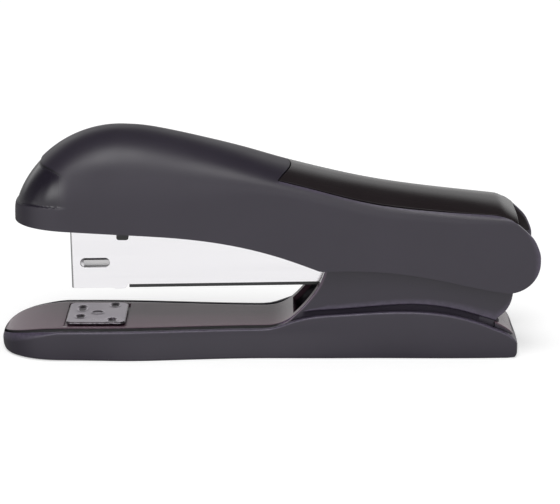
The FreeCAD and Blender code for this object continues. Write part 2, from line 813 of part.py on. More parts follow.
def throat_curve(inset):
    """The deck line as it sweeps up into the throat's back wall, moved inwards by inset."""
    return [(throat_x, deck_z - inset), (throat_x + 3.0 + 0.1 * inset, deck_z + 0.5 - inset),
            (throat_x + 5.6 + 0.4 * inset, deck_z + 1.7 - 0.9 * inset),
            (throat_x + 8.2 + 0.6 * inset, deck_z + 4.0 - 0.8 * inset),
            (throat_top_x - 5.0 + 0.75 * inset, throat_top_z - 10.0 - 0.65 * inset),
            (throat_top_x - 2.2 + 0.85 * inset, throat_top_z - 6.0 - 0.5 * inset),
            (throat_top_x + 0.95 * inset, throat_top_z)]


def cover_side(inset):
    """Side outline of the cover: nose, deck, throat, cheeks round the hinge and rear slope."""
    nose_tip = (cover_front_x - 0.5 + inset, cover_bottom_z)
    deck_front = (base_front_x + base_nose_length, deck_z - inset)
    throat = throat_curve(inset)
    radius = rail_eye_radius - inset
    cheek_top = (pivot_x, pivot_z + radius)
    cheek_end = (pivot_x + radius, pivot_z)
    diagonal = radius * math.sqrt(0.5)
    foot = (cheek_foot_x - inset, cheek_foot_z)
    tail = (cover_rear_x - inset, cover_bottom_z)
    nose = [nose_tip, (cover_front_x + 1.2 + inset, deck_z - 2.2 - inset * 0.8),
            (base_front_x + 8, deck_z - 0.5 - inset)]
    edges = [smooth(nose + [deck_front]),
             line(deck_front, throat[0]), smooth(throat), line(throat[-1], cheek_top),
             arc(cheek_top, (pivot_x + diagonal, pivot_z + diagonal), cheek_end),
             smooth([cheek_end, (pivot_x + 1.9 - inset, pivot_z - 8.7),
                     (pivot_x - 0.4 - inset, cheek_foot_z + 3.3), foot]),
             smooth([foot, (cover_rear_x - 1.6 - inset, cheek_foot_z - 1.8 - inset * 0.8),
                     (cover_rear_x - 0.3 - inset, cheek_foot_z - 3.6 - inset * 0.4), tail]),
             line(tail, nose_tip)]
    return slab(edges, -wide, wide)


def cheek_groove():
    """What is taken off outside the cheeks, so that they end in a step above the shell's rim."""
    upper = hump_line(cheek_step_rise)
    low_rear = (upper[-1][0], 0)
    low_front = (upper[0][0], 0)
    band = slab([smooth(upper), line(upper[-1], low_rear), line(low_rear, low_front),
                 line(low_front, upper[0])], -wide, wide)
    band = band.common(block(throat_x + 4, base_rear_x, -wide, wide, 0, crest_z))
    return band.cut(cover_prism(cheek_step, -1, crest_z))


def base_cover():
    """Inner cover: deck, throat wall with the rail's slot, two cheeks and the rear slope."""
    outer = cover_prism(0, 0, crest_z).common(cover_side(0)).cut(cheek_groove())
    hollow = cover_prism(cover_skin, 0, crest_z).common(cover_side(cover_skin))
    cover = outer.cut(hollow)
    between = cheek_half_width - cover_skin
    cover = cover.cut(block(throat_top_x + cover_skin, lobe_end_x, -between, between, back_wall_z, wide))
    cover = cover.cut(block(throat_x, throat_top_x + 8, -slot_half_width, slot_half_width,
                            slot_bottom_z, wide))
    cover = cover.cut(crossbar(pivot_x, pivot_z, pin_hole, -wide, wide))
    bosses = group([upright(x, y, boss_radius, cover_bottom_z, deck_z) for x, y in base_screw_places()])
    cover = cover.fuse(bosses.common(outer))
    holes = [upright(x, y, screw_radius, -1, deck_z - cover_skin) for x, y in base_screw_places()]
    holes.append(upright(anvil_x, 0, anvil_post_radius + seat_gap, -1, wide))
    ring_out = block(anvil_x - anvil_length / 2 - moat_width, anvil_x + anvil_length / 2 + moat_width,
                     -anvil_width / 2 - moat_width, anvil_width / 2 + moat_width, deck_z - moat_depth, wide)
    ring_in = block(anvil_x - anvil_length / 2, anvil_x + anvil_length / 2,
                    -anvil_width / 2, anvil_width / 2, 0, wide)
    return cover.cut(holes).cut(ring_out.cut(ring_in)).removeSplitter()


def bracket_ear_outline():
    """Side outline of one bracket ear, rising from the sheet to the hinge pin."""
    diagonal = ear_radius * math.sqrt(0.5)
    return [line((bracket_wide_x, bracket_z), (bracket_wide_x + 4, bracket_top_z + 3)),
            line((bracket_wide_x + 4, bracket_top_z + 3), (pivot_x - diagonal, pivot_z + diagonal)),
            arc((pivot_x - diagonal, pivot_z + diagonal), (pivot_x + diagonal, pivot_z + diagonal),
                (pivot_x + diagonal, pivot_z - diagonal)),
            line((pivot_x + diagonal, pivot_z - diagonal), (bracket_rear_x, bracket_z + 5)),
            line((bracket_rear_x, bracket_z + 5), (bracket_rear_x, bracket_z)),
            line((bracket_rear_x, bracket_z), (bracket_wide_x, bracket_z))]


def base_bracket():
    """Folded steel bracket: a long strip to the anvil and two ears for the hinge pin."""
    strip = block(bracket_front_x, bracket_wide_x + 1, -bracket_strip_half_width, bracket_strip_half_width,
                  bracket_z, bracket_top_z)
    seat = block(bracket_wide_x, bracket_rear_x, -bracket_half_width, bracket_half_width,
                 bracket_z, bracket_top_z)
    ear = slab(bracket_ear_outline(), bracket_ear_inner, bracket_half_width)
    bracket = strip.fuse([seat, mirrored(ear)])
    for x in even_stations(bracket_front_x + 26, bracket_wide_x - 8, 3):
        bracket = bracket.cut(upright(x, 0, bracket_strip_half_width / 2, 0, wide))
    bracket = bracket.cut(upright(anvil_x, 0, anvil_post_radius + seat_gap, 0, wide))
    return bracket.cut(crossbar(pivot_x, pivot_z, pin_hole, -wide, wide)).removeSplitter()


def lift_spring():
    """Leaf spring on the bracket that holds the rail up off the anvil."""
    bottom = rail_place(lift_tip_x - pivot_x, rail_bottom)[1] - seat_gap
    seat = bracket_top_z
    root = (lift_root_x, seat + lift_thickness)
    bend = [(lift_root_x - 10, seat + lift_thickness), (lift_root_x - 14, seat + lift_thickness + 1.2),
            (lift_root_x - 20, seat + lift_thickness + 6), (lift_tip_x + 4, bottom - 1.2),
            (lift_tip_x, bottom)]
    under = [(x, z - lift_thickness) for x, z in bend]
    edges = [line(root, bend[0]), smooth(bend), line(bend[-1], under[-1]), smooth(under),
             line(under[0], (root[0], seat)), line((root[0], seat), root)]
    return slab(edges, -lift_half_width, lift_half_width)


def rubber_feet():
    """Four soft feet pressed into the shell's sockets."""
    return group([upright(x, y, foot_radius, 0, shell_bottom_z + foot_sink) for x, y in foot_places()])


def base_screws():
    """Three screws from below, through the shell's floor into the cover's bosses."""
    screws = []
    for x, y in base_screw_places():
        stem = upright(x, y, screw_radius - pin_clearance, shell_floor_z - screw_head, cover_bottom_z + 1.6)
        head = upright(x, y, screw_head_radius, shell_floor_z - screw_head, shell_floor_z)
        screws.append(stem.fuse(head).removeSplitter())
    return group(screws)


# ---------------------------------------------------------------- hinge
def hinge_pin():
    """Plain pin with chamfered ends through cheeks, bracket, frame and rail."""
    pin = crossbar(pivot_x, pivot_z, pin_radius, -pin_half_length, pin_half_length)
    ends = [edge for edge in pin.Edges if edge.BoundBox.YLength < 0.1]
    return pin.makeChamfer(0.4, ends)


def hinge_washers():
    """Two washers on the pin between the rail and the head frame."""
    gap = (frame_inner - rail_half_width - washer_thickness) / 2
    start = rail_half_width + gap
    ring = crossbar(pivot_x, pivot_z, washer_radius, start, start + washer_thickness)
    ring = ring.cut(crossbar(pivot_x, pivot_z, pin_hole, -wide, wide))
    return group([ring, ring.mirror(Vector(0, 0, 0), Vector(0, 1, 0))])


def hinge_sleeve():
    """Spacer sleeve on the pin inside the rail."""
    half = rail_half_width - rail_sheet - seat_gap
    sleeve = crossbar(pivot_x, pivot_z, sleeve_radius, -half, half)
    return sleeve.cut(crossbar(pivot_x, pivot_z, pin_hole, -wide, wide))


# ---------------------------------------------------------------- anvil
def trough(x, y):
    """A short groove across the stapler, with a curved bottom that curls one staple leg."""
    radius = (trough_length ** 2 / 4 + trough_depth ** 2) / (2 * trough_depth)
    centre_z = deck_z + anvil_float + anvil_thickness + radius - trough_depth
    return Part.makeCylinder(radius, trough_width, Vector(x - trough_width / 2, y, centre_z), Vector(1, 0, 0))


def anvil_plate():
    """Steel plate with two pairs of leg troughs: close together and wide apart."""
    z = deck_z + anvil_float
    plate = block(anvil_x - anvil_length / 2, anvil_x + anvil_length / 2, -anvil_width / 2, anvil_width / 2,
                  z, z + anvil_thickness)
    corners = [edge for edge in plate.Edges if edge.BoundBox.ZLength > anvil_thickness / 2]
    plate = plate.makeFillet(anvil_corner, corners)
    tools = [trough(anvil_x - trough_offset_x, side * closed_trough_y) for side in (-1, 1)]
    tools += [trough(anvil_x + trough_offset_x, side * open_trough_y) for side in (-1, 1)]
    tools.append(upright(anvil_x, 0, stake_radius + pin_clearance, 0, wide))
    return plate.cut(tools)


def anvil_post():
    """Turned post, staked through the plate, with the button that is pushed from below."""
    top = deck_z + anvil_float
    bottom = shell_floor_z - button_thickness
    button = upright(anvil_x, 0, button_radius, bottom, shell_floor_z)
    stake = upright(anvil_x, 0, stake_radius, top, top + anvil_thickness - stake_drop)
    return upright(anvil_x, 0, anvil_post_radius, bottom, top).fuse([button, stake]).removeSplitter()


def anvil_spring():
    """Dished spring washer between the button and the bracket."""
    low = shell_floor_z + seat_gap
    high = bracket_z - seat_gap / 2
    inner = anvil_post_radius + seat_gap
    thin = (high - low) / 2.4
    outline = [(inner, high - thin), (inner, high), (button_radius, low + thin), (button_radius, low)]
    face = Part.Face(Part.makePolygon(side_points(outline + outline[:1])))
    washer = face.revolve(Vector(0, 0, 0), Vector(0, 0, 1), 360)
    washer.translate(Vector(anvil_x, 0, 0))
    return washer


# ---------------------------------------------------------------- the assembly
head_blank = head_body(0).common(head_side())
head_form = head_blank.cut(nose_recess(head_blank))

export(head_cover(head_form), "head_cover")
export(top_grip(head_form), "top_grip")
export(head_frame(), "head_frame")
export(frame_screws(), "frame_screws")
export(driver_blade(), "driver_blade")
export(driver_rivets(), "driver_rivets")
export(bow_spring(), "bow_spring")

export(magazine_rail(), "magazine_rail")
export(rail_carrier(), "rail_carrier")
export(staple_core(), "staple_core")
export(guide_rod(), "guide_rod")
export(staple_follower(), "staple_follower")
export(follower_spring(), "follower_spring")
export(hinge_sleeve(), "hinge_sleeve")

export(base_shell(), "base_shell")
export(base_cover(), "base_cover")
export(base_bracket(), "base_bracket")
export(lift_spring(), "lift_spring")
export(hinge_pin(), "hinge_pin")
export(hinge_washers(), "hinge_washers")
export(base_screws(), "base_screws")
export(rubber_feet(), "rubber_feet")

export(anvil_plate(), "anvil_plate")
export(anvil_post(), "anvil_post")
export(anvil_spring(), "anvil_spring")
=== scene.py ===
"""Looks of a full-strip desktop stapler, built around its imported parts.

Sizes are millimetres here and metres in the meshes. X runs from the nose to the hinge, Y across, Z up.
"""
import math
import bmesh
import bpy
import numpy as np
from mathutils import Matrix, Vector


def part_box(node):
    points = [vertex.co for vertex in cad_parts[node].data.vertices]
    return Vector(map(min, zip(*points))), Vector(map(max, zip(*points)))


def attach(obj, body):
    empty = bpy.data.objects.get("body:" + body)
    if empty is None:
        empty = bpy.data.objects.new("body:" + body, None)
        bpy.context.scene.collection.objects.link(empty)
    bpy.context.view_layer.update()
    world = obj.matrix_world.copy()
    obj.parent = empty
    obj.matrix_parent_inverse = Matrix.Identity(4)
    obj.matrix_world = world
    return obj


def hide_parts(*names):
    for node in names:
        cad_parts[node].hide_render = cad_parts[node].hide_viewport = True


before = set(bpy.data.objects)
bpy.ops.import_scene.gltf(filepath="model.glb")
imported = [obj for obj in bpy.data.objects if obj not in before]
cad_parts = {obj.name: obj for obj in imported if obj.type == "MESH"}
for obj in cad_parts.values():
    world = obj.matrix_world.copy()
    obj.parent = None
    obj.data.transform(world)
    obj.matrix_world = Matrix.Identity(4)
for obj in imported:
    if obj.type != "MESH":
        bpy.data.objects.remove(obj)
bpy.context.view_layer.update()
MM = 0.001

# ------------------------------------------------------------------ sizes of the shells
head_front_x = -70.1
crest_x = -40.75
crest_z = 62.55
nose_z = 40.0
nose_length = 16.0
nose_power = 2.2
crown_power = 2.5
nose_bow = 0.64
scoop_depth = 0.4
# Each seam round the nose: where it starts to bow, its height there, and how fast it bows.
upper_seam = (-61.5, 53.2, 0.044)
lower_seam = (-62.9, 43.2, 0.026)
pivot_x = 65.6
pivot_z = 27.4
lobe_radius = 8.7
head_wall = 1.6
lip_half_width = 13.2
grip_half_width = 12.9
lip_drop = 3.6
grip_front_x = 6.2
grip_rear_x = 68.2
grip_bend_x = 63.9
grip_bow = 3.4
grip_skin = 1.6
base_front_x = -74.4
base_rear_x = 69.2
base_nose_length = 17.0
base_nose_power = 2.1
shell_wall = 1.7
tip_wall = 0.5
groove = 0.9
tip_groove = 0.12
rim_round = 0.55
nose_round = 2.4
foot_round = 0.25
base_flare = 0.9
tail_length = 4.5
wall_tail = 1.4
cheek_step = 0.5
cheek_front_x = 16.1
cheek_radius = 6.6
cover_foot_z = 4.0
cover_wall = 1.4
deck_z = 8.4
slot_bottom_z = 11.3
slot_half_width = 8.0
anvil_x = -47.9
pocket_length = 17.4
pocket_width = 21.0
pocket_depth = 0.5
MIRROR = np.array([1, -1, 1])


# ------------------------------------------------------------------ curves and grids
def curve_through(points, count=600):
    """Smooth curve through points: a natural cubic spline of each coordinate over the chord length."""
    p = np.array(points, float)
    t = np.concatenate([[0.0], np.cumsum(np.linalg.norm(np.diff(p, axis=0), axis=1))])
    h = np.diff(t)
    n = len(t)
    i = np.arange(1, n - 1)
    matrix = np.eye(n)
    matrix[i, i - 1] = h[:-1]
    matrix[i, i] = 2 * (h[:-1] + h[1:])
    matrix[i, i + 1] = h[1:]
    right = np.zeros(p.shape)
    right[1:-1] = 6 * np.diff(np.diff(p, axis=0) / h[:, None], axis=0)
    bend = np.linalg.solve(matrix, right)
    s = np.linspace(0, t[-1], count)
    k = np.clip(np.searchsorted(t, s, "right") - 1, 0, n - 2)
    a = ((t[k + 1] - s) / h[k])[:, None]
    b = 1 - a
    curl = (a ** 3 - a) * bend[k] + (b ** 3 - b) * bend[k + 1]
    return a * p[k] + b * p[k + 1] + curl * h[k, None] ** 2 / 6


def straight(first, last, count=40):
    """Points evenly spaced on a line."""
    return np.linspace(first, last, count)


def arc(centre, radius, start, end, count=60):
    """Points on a circular arc in the side view, angles in degrees from +X towards +Z."""
    a = np.radians(np.linspace(start, end, count))
    return np.stack([centre[0] + radius * np.cos(a), centre[1] + radius * np.sin(a)], axis=1)


def chain(*parts):
    """Curves laid end to end as one."""
    return np.concatenate([parts[0]] + [p[1:] for p in parts[1:]])


def respaced(points, fractions):
    """The curve read at the given fractions of its length."""
    length = np.concatenate([[0.0], np.cumsum(np.linalg.norm(np.diff(points, axis=0), axis=1))])
    at = np.asarray(fractions) * length[-1]
    return np.stack([np.interp(at, length, points[:, k]) for k in range(points.shape[1])], axis=1)


def profile(points):
    """A value that changes smoothly along X, as a function of an array of stations."""
    c = curve_through(points)
    return lambda x: np.interp(x, c[:, 0], c[:, 1])


def closer_at_ends(count, share):
    """Steps from -1 to 1: even ones mixed with a share of sine steps, which lie closer at the ends."""
    even = np.linspace(-1, 1, count)
    return np.sin(even * math.pi / 2) * share + even * (1 - share)


def ease(v, low, high):
    """Smooth step from 0 at low to 1 at high."""
    t = np.clip((v - low) / (high - low), 0, 1)
    return t * t * (3 - 2 * t)


def surface(x, y, z):
    """A grid of points from three arrays, each spread over the rows and columns it doesn't have."""
    return np.stack(np.broadcast_arrays(x, y, z), axis=2)


def grid_normals(points):
    """Unit normals of a grid of points, from the cross product of its two directions."""
    n = np.cross(np.gradient(points, axis=0), np.gradient(points, axis=1))
    return n / np.maximum(np.linalg.norm(n, axis=2, keepdims=True), 1e-9)


def grid_quads(rows, columns, first, keep=None, wrap=False):
    """Corner indices of a grid's quads; wrap joins the last column to the first."""
    i, j = np.meshgrid(np.arange(rows - 1), np.arange(columns if wrap else columns - 1), indexing="ij")
    k = (j + 1) % columns
    row, after = i * columns, (i + 1) * columns
    quads = np.stack([row + j, after + j, after + k, row + k], axis=-1)
    if keep is not None:
        quads = quads[keep]
    return quads.reshape(-1, 4) + first


def new_object(name, data):
    """An object in the scene that holds the given data."""
    made = bpy.data.objects.new(name, data)
    bpy.context.scene.collection.objects.link(made)
    return made


def make_piece(name, grids, material, body, node, thick=0.0, bevel=0.0, sharp=38, extra=None):
    """A mesh from grids of points in millimetres: grids meet where their border points coincide.

    Each grid is (points, keep mask or None, wrap). Attributes in extra are one value per point of all grids.
    """
    points, quads, first = [], [], 0
    for grid, keep, wrap in grids:
        points.append(grid.reshape(-1, 3))
        quads.append(grid_quads(grid.shape[0], grid.shape[1], first, keep, wrap))
        first += grid.shape[0] * grid.shape[1]
    mesh = bpy.data.meshes.new(name)
    mesh.from_pydata((np.concatenate(points) * MM).tolist(), [], np.concatenate(quads).tolist())
    for key, values in (extra or {}).items():
        values = np.asarray(values, np.float32).ravel()
        mesh.attributes.new(key, "FLOAT", "POINT").data.foreach_set("value", values)
    work = bmesh.new()
    work.from_mesh(mesh)
    bmesh.ops.remove_doubles(work, verts=work.verts, dist=4e-6)
    bmesh.ops.dissolve_degenerate(work, edges=work.edges, dist=1e-7)
    loose = [v for v in work.verts if not v.link_faces]
    bmesh.ops.delete(work, geom=loose, context="VERTS")
    bmesh.ops.recalc_face_normals(work, faces=work.faces)
    work.to_mesh(mesh)
    work.free()
    mesh.shade_smooth()
    mesh.set_sharp_from_angle(angle=math.radians(sharp))
    piece = new_object(name, mesh)
    mesh.materials.append(material)
    if thick:
        wall = piece.modifiers.new("wall", "SOLIDIFY")
        wall.thickness = thick * MM
        wall.offset = -1
        wall.use_even_offset = False
    if bevel:
        round_off(piece, bevel)
    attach(piece, body)
    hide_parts(node)
    return piece


def round_off(piece, width, angle=35, segments=2):
    """Round a piece's sharp edges by width millimetres."""
    soft = piece.modifiers.new("rounding", "BEVEL")
    soft.width = width * MM
    soft.segments = segments
    soft.limit_method = "ANGLE"
    soft.angle_limit = math.radians(angle)
    soft.use_clamp_overlap = True
    soft.harden_normals = True


# ------------------------------------------------------------------ the head's form
head_width = profile([(-71.5, 16.9), (crest_x, 16.9), (-12.0, 15.8), (15.0, 14.8), (76.35, 14.7)])
head_back = profile([(crest_x, crest_z), (-35.0, 62.23), (-29.9, 61.42), (-18.9, 58.95), (-6.0, 55.5),
                     (3.15, 52.65), (11.3, 50.5), (27.6, 47.0), (43.9, 44.5), (54.8, 43.15), (62.0, 42.25),
                     (76.35, 41.0)])
shoulder = profile([(-71.5, 3.0), (-58.0, 15.5), (crest_x, 21.0), (-28.0, 18.6), (-15.0, 13.6), (3.15, 7.0),
                    (15.0, 6.4), (27.6, 7.1), (43.9, 6.1), (54.8, 5.2), (62.0, 4.2), (76.35, 3.6)])
head_lower = chain(curve_through([(-74.5, 37.2), (-62.0, 37.0), (-43.0, 36.0), (-18.5, 34.0), (3.2, 29.0),
                                  (14.2, 24.9)]),
                   curve_through([(14.2, 24.9), (25.0, 25.0), (46.9, 22.4), (58.0, 20.0), (pivot_x, 18.65)]))
head_rear = curve_through([(74.3, pivot_z), (74.15, 29.8), (73.7, 31.2), (72.5, 33.6), (69.6, 36.6),
                           (66.4, 39.15), (63.4, 40.15), (60.0, 40.55)])


def head_top(x):
    """Height of the head's back: a rounded nose, then a long falling tail."""
    reach = np.clip((crest_x - x) / (crest_x - head_front_x), 0, 1)
    nose = nose_z + (crest_z - nose_z) * (1 - reach ** 2) ** nose_bow
    return np.where(x < crest_x, nose, head_back(np.maximum(x, crest_x)))


def head_rise(x):
    """Height of the crowned part of the section at x."""
    room = head_top(x) - np.interp(x, head_lower[:, 0], head_lower[:, 1]) - 0.5
    return np.minimum(shoulder(x), np.where(x < head_front_x + nose_length, room, 99.0))


def crown_height(x, share):
    """Height of the crown where Y is share of the half width: a superellipse on straight sides."""
    rise = head_rise(x)
    return head_top(x) - rise + rise * (1 - np.clip(share, 0, 1) ** crown_power) ** (1 / crown_power)


def side_reach(x, z):
    """Share of the half width that the side has at height z."""
    rise = head_rise(x)
    up = np.clip((z - head_top(x) + rise) / rise, 0, 1)
    return (1 - up ** crown_power) ** (1 / crown_power)


def half_section(x, width, lip, low_rows):
    """The side of a head section at each station: rows evenly spaced from the lower edge to the lip."""
    low = np.interp(x, head_lower[:, 0], head_lower[:, 1])
    rise = head_rise(x)
    start = (head_top(x) - rise)[:, None]
    turn_points, stem_points = 160, 39
    turn = np.linspace(0, 1, turn_points)[None, :] ** 1.3 * math.pi / 2
    dense_y = width[:, None] * np.cos(turn) ** (2 / crown_power)
    dense_z = start + rise[:, None] * np.sin(turn) ** (2 / crown_power)
    stem = np.linspace(0, 1, stem_points + 1)[None, :-1]
    dense_y = np.concatenate([np.repeat(width[:, None], stem_points, 1), dense_y], axis=1)
    dense_z = np.concatenate([low[:, None] + (start - low[:, None]) * stem, dense_z], axis=1)
    step = np.hypot(np.diff(dense_y, axis=1), np.diff(dense_z, axis=1))
    length = np.concatenate([np.zeros((len(x), 1)), np.cumsum(step, axis=1)], axis=1)
    lip_y = (lip * width)[:, None]
    at_lip = np.sum(dense_y >= lip_y, axis=1) - 1
    lip_length = length[np.arange(len(x)), at_lip][:, None]
    goal = lip_length * np.linspace(0, 1, low_rows)[None, :]
    k = np.clip(np.sum(length[:, :, None] <= goal[:, None, :], axis=1) - 1, 0, length.shape[1] - 2)
    r = np.arange(len(x))[:, None]
    part = (goal - length[r, k]) / np.maximum(length[r, k + 1] - length[r, k], 1e-9)
    y = dense_y[r, k] + (dense_y[r, k + 1] - dense_y[r, k]) * part
    z = dense_z[r, k] + (dense_z[r, k + 1] - dense_z[r, k]) * part
    return y, z


def nose_scoop(points):
    """Share of the recess round the nose: full between the two bowed seams, fading out along the side.

    A seam is level up to a station and then falls by its bow times the square of the distance past it.
    """
    x, z = points[..., 0], points[..., 2]
    upper = upper_seam[1] - upper_seam[2] * np.maximum(x - upper_seam[0], 0) ** 2
    lower = lower_seam[1] - lower_seam[2] * np.minimum(x - lower_seam[0], 0) ** 2
    inside = ease(z, lower - 0.15, lower + 0.25) * (1 - ease(z, upper - 0.25, upper + 0.15))
    fade_from, fade_to = -58.5, -53.5
    return inside * (1 - ease(x, fade_from, fade_to))


def head_shell(material):
    """The moulded head: a nose and hump of full sections, then two side walls that end round the hinge.

    The hump's rows are even along each half section, mirrored, and its last stations bend to the grip's
    bowed front. A side wall fills its outline by blending between its four border curves, and takes Y from
    the head's crowned section. The nose's recess moves the skin inwards along its own normal.
    """
    low_rows, crown_rows = 56, 30
    bowed_stations = 22
    lip_end_x = 60.0
    turn = np.linspace(0, 1, 62) ** 0.9 * math.pi / 2
    nose_x = head_front_x + nose_length * (1 - np.sin(turn[::-1]) ** (2 / nose_power))
    nose_share = np.cos(turn[::-1]) ** (2 / nose_power)
    long_x = np.linspace(head_front_x + nose_length, grip_front_x - 0.3 - grip_bow, 58)[1:]
    x = np.concatenate([nose_x, long_x])
    share = np.concatenate([nose_share, np.ones(len(long_x))])
    width = head_width(x) * np.maximum(share, 1e-4)
    lip = lip_half_width / head_width(x)
    y, z = half_section(x, width, lip, low_rows)
    across = np.linspace(1, 0, crown_rows)[None, 1:]
    bow_x = long_x[-bowed_stations]
    bow = grip_bow * ease((x[:, None] - bow_x) / (long_x[-1] - bow_x), 0, 1) * (1 - across ** 2)
    crown_x = x[:, None] + bow
    crown_share = lip[:, None] * across
    crown_y = head_width(crown_x) * share[:, None] * crown_share
    crown_z = crown_height(crown_x, crown_share)
    side = surface(x[:, None], y, z)
    half = np.concatenate([side, surface(crown_x, crown_y, crown_z)], axis=1)
    hump = np.concatenate([half * MIRROR, half[:, -2::-1]], axis=1)
    scoop = nose_scoop(hump)
    hump = hump + grid_normals(hump) * scoop[..., None] * scoop_depth * inward_sign(hump)

    rows = np.linspace(0, 1, low_rows)
    first = half[-1, :low_rows][:, [0, 2]]
    seam = lobe_split(-30)
    stations = np.linspace(0, 1, 92)
    after = head_lower[head_lower[:, 0] > x[-1]]
    bottom = respaced(chain(np.array([first[0], after[0]]), after, seam[0]), stations)
    lip_x = np.linspace(x[-1], lip_end_x, 300)
    lip_z = crown_height(lip_x, lip_half_width / head_width(lip_x))
    lip_z = lip_z + (seam[1][0, 1] - lip_z[-1]) * ease(lip_x, 40, lip_end_x)
    top = respaced(chain(np.stack([lip_x, lip_z], axis=1), seam[1]), stations)
    right = respaced(seam[2], rows)
    s, t = stations[:, None, None], rows[None, :, None]
    flat = ((1 - t) * bottom[:, None] + t * top[:, None] + (1 - s) * first[None] + s * right[None]
            - (1 - s) * (1 - t) * bottom[0] - s * (1 - t) * bottom[-1]
            - (1 - s) * t * top[0] - s * t * top[-1])
    wall_y = head_width(flat[..., 0]) * side_reach(flat[..., 0], flat[..., 1])
    wall = surface(flat[..., 0], wall_y, flat[..., 1])
    wall[0] = side[-1]
    grids = [(hump, None, False), (wall, None, False), (wall * MIRROR, None, False)]
    # The side walls' lips carry the rim value, for a lighter painted highlight.
    rim = np.concatenate([np.zeros(hump.shape[:2]).ravel(), np.tile(edge_weight(wall, 3), 2)])
    polish = np.concatenate([scoop.ravel(), np.zeros(2 * wall.shape[0] * wall.shape[1])])
    return make_piece("head_shell", grids, material, "head", "head_cover", thick=head_wall,
                      bevel=0.35, extra={"rim": rim, "polish": polish})


def inward_sign(points):
    """+1 or -1, whichever turns the grid's normals towards the inside of the head."""
    normals = grid_normals(points)
    middle = points.mean(axis=(0, 1))
    return -np.sign(np.sum(normals * (points - middle)))


def edge_weight(points, reach):
    """1 at the grid's last rows, falling to 0 within reach rows: where a lip gets its painted highlight."""
    rows, columns = points.shape[:2]
    j = np.arange(columns)[None, :]
    i = np.arange(rows)[:, None]
    near = np.minimum(columns - 1 - j + 0 * i, rows - 1 - i + 0 * j)
    return np.clip(1 - near / reach, 0, 1).ravel()


def lobe_split(angle):
    """The head's rear outline in three runs: under the hinge, down the back, and the rounded end between."""
    under = arc((pivot_x, pivot_z), lobe_radius, -90, angle)
    round_end = arc((pivot_x, pivot_z), lobe_radius, angle, 0)
    split_z = 36.0
    high = head_rear[:, 1] > split_z
    top_part, low_part = head_rear[high][::-1], head_rear[~high]
    return under, top_part, chain(round_end, low_part, top_part[-1:])


def head_web(material):
    """The web under the grip and its bulkhead: level across, following the lip's fall along X."""
    gap, front_half, rear_half = 0.3, 12.0, 13.1
    bulkhead_drop, bulkhead_bow = 3.4, 3.0
    x = np.linspace(-1.2, 56.8, 40)
    y = np.linspace(-1, 1, 9)
    z = head_top(x) - lip_drop - grip_skin - gap
    half = front_half + (rear_half - front_half) * ease(x, 1.5, 4.0)
    points = surface(x[:, None], y[None] * half[:, None], z[:, None])
    up = np.linspace(0, 1, 9)[:, None]
    rise = head_top(x[0]) - bulkhead_drop - z[0] - bulkhead_bow * (y[None] ** 2)
    wall = surface(x[0], points[0, :, 1][None], z[0] + up * rise)
    grids = [(points, None, False), (wall, None, False)]
    return make_piece("head_web", grids, material, "head", "head_cover", thick=1.2,
                      bevel=0.2)


def grip_drop(x, share):
    """How far the grip's rear bends down: a straight fall after a soft bend, less beside the walls."""
    run = x - grip_bend_x
    slope, less_at_walls = 0.28, 0.2
    return slope * (np.sqrt(run ** 2 + 1.0) + run) * (1 - less_at_walls * share ** 2)


def top_grip(material):
    """Crowned grip: rows from its bowed front to its rear edge, closer together at the walls and the rear."""
    across = closer_at_ends(75, 0.35)
    along = np.concatenate([np.linspace(0, 0.9, 60), np.linspace(0.9, 1, 26)[1:]])
    front = grip_front_x - grip_bow * across ** 2
    x = front[None] + along[:, None] * (grip_rear_x - front[None])
    y = np.broadcast_to(across[None] * grip_half_width, x.shape)
    z = crown_height(x, np.abs(y) / head_width(x)) - grip_drop(x, np.abs(across)[None])
    return make_piece("grip_crown", [(surface(x, y, z), None, False)], material, "head", "top_grip",
                      thick=grip_skin, bevel=0.3)


def grip_flanges(material):
    """Two flange plates that line the head's open rear: between the back's curve and a straight diagonal."""
    low_z, high_z, plate_thickness = 30.0, 38.6, 1.0
    back = head_rear[(head_rear[:, 1] < high_z) & (head_rear[:, 1] > low_z)]
    s = np.linspace(0, 1, 40)
    outer = respaced(back, s) - [0.35, 0.15]
    inner = straight((70.6, 29.6), (63.4, 36.8), 40)
    t = np.linspace(0, 1, 5)[None, :, None]
    flat = outer[:, None] * (1 - t) + inner[:, None] * t
    plate = surface(flat[..., 0], grip_half_width, flat[..., 1])
    inside = plate - [0, plate_thickness, 0]
    loop = np.concatenate([plate, inside[:, ::-1]], axis=1)
    caps = [np.stack([plate[k], inside[k]], axis=0) for k in (0, -1)]
    grids = []
    for side in (1, -1):
        grids.append((loop * [1, side, 1], None, True))
        grids += [(cap * [1, side, 1], None, False) for cap in caps]
    return make_piece("grip_flanges", grids, material, "head", "top_grip", bevel=0.2)


# ------------------------------------------------------------------ the base's form
base_width = profile([(-75.4, 16.65), (-57.0, 16.65), (-46.0, 16.65), (-25.0, 15.1), (-2.0, 13.4),
                      (15.0, 13.8), (35.0, 14.2), (58.0, 14.2), (70.6, 13.6)])
rim_curve = chain(curve_through([(base_front_x, 3.0), (-74.15, 4.1), (-73.2, 5.1), (-71.2, 6.05),
                                 (-68.0, 6.9), (-62.7, 7.7), (-57.4, 8.1)]),
                  straight((-57.4, 8.1), (-4.0, 8.15)),
                  curve_through([(-4.0, 8.15), (1.0, 8.45), (5.0, 9.75), (9.5, 11.15), (19.6, 12.35),
                                 (37.5, 13.25), (49.7, 12.3), (59.9, 9.4), (62.9, 8.15), (66.5, 6.5),
                                 (68.4, 4.6), (base_rear_x, 2.7)]))
keel_curve = chain(curve_through([(base_front_x, 3.0), (-74.2, 1.9), (-73.6, 1.0), (-72.2, 0.5),
                                  (-69.0, 0.38)]),
                   straight((-69.0, 0.38), (-40.0, 0.1)), straight((-40.0, 0.1), (67.6, 0.1)),
                   curve_through([(67.6, 0.1), (68.6, 1.0), (base_rear_x, 2.7)]))
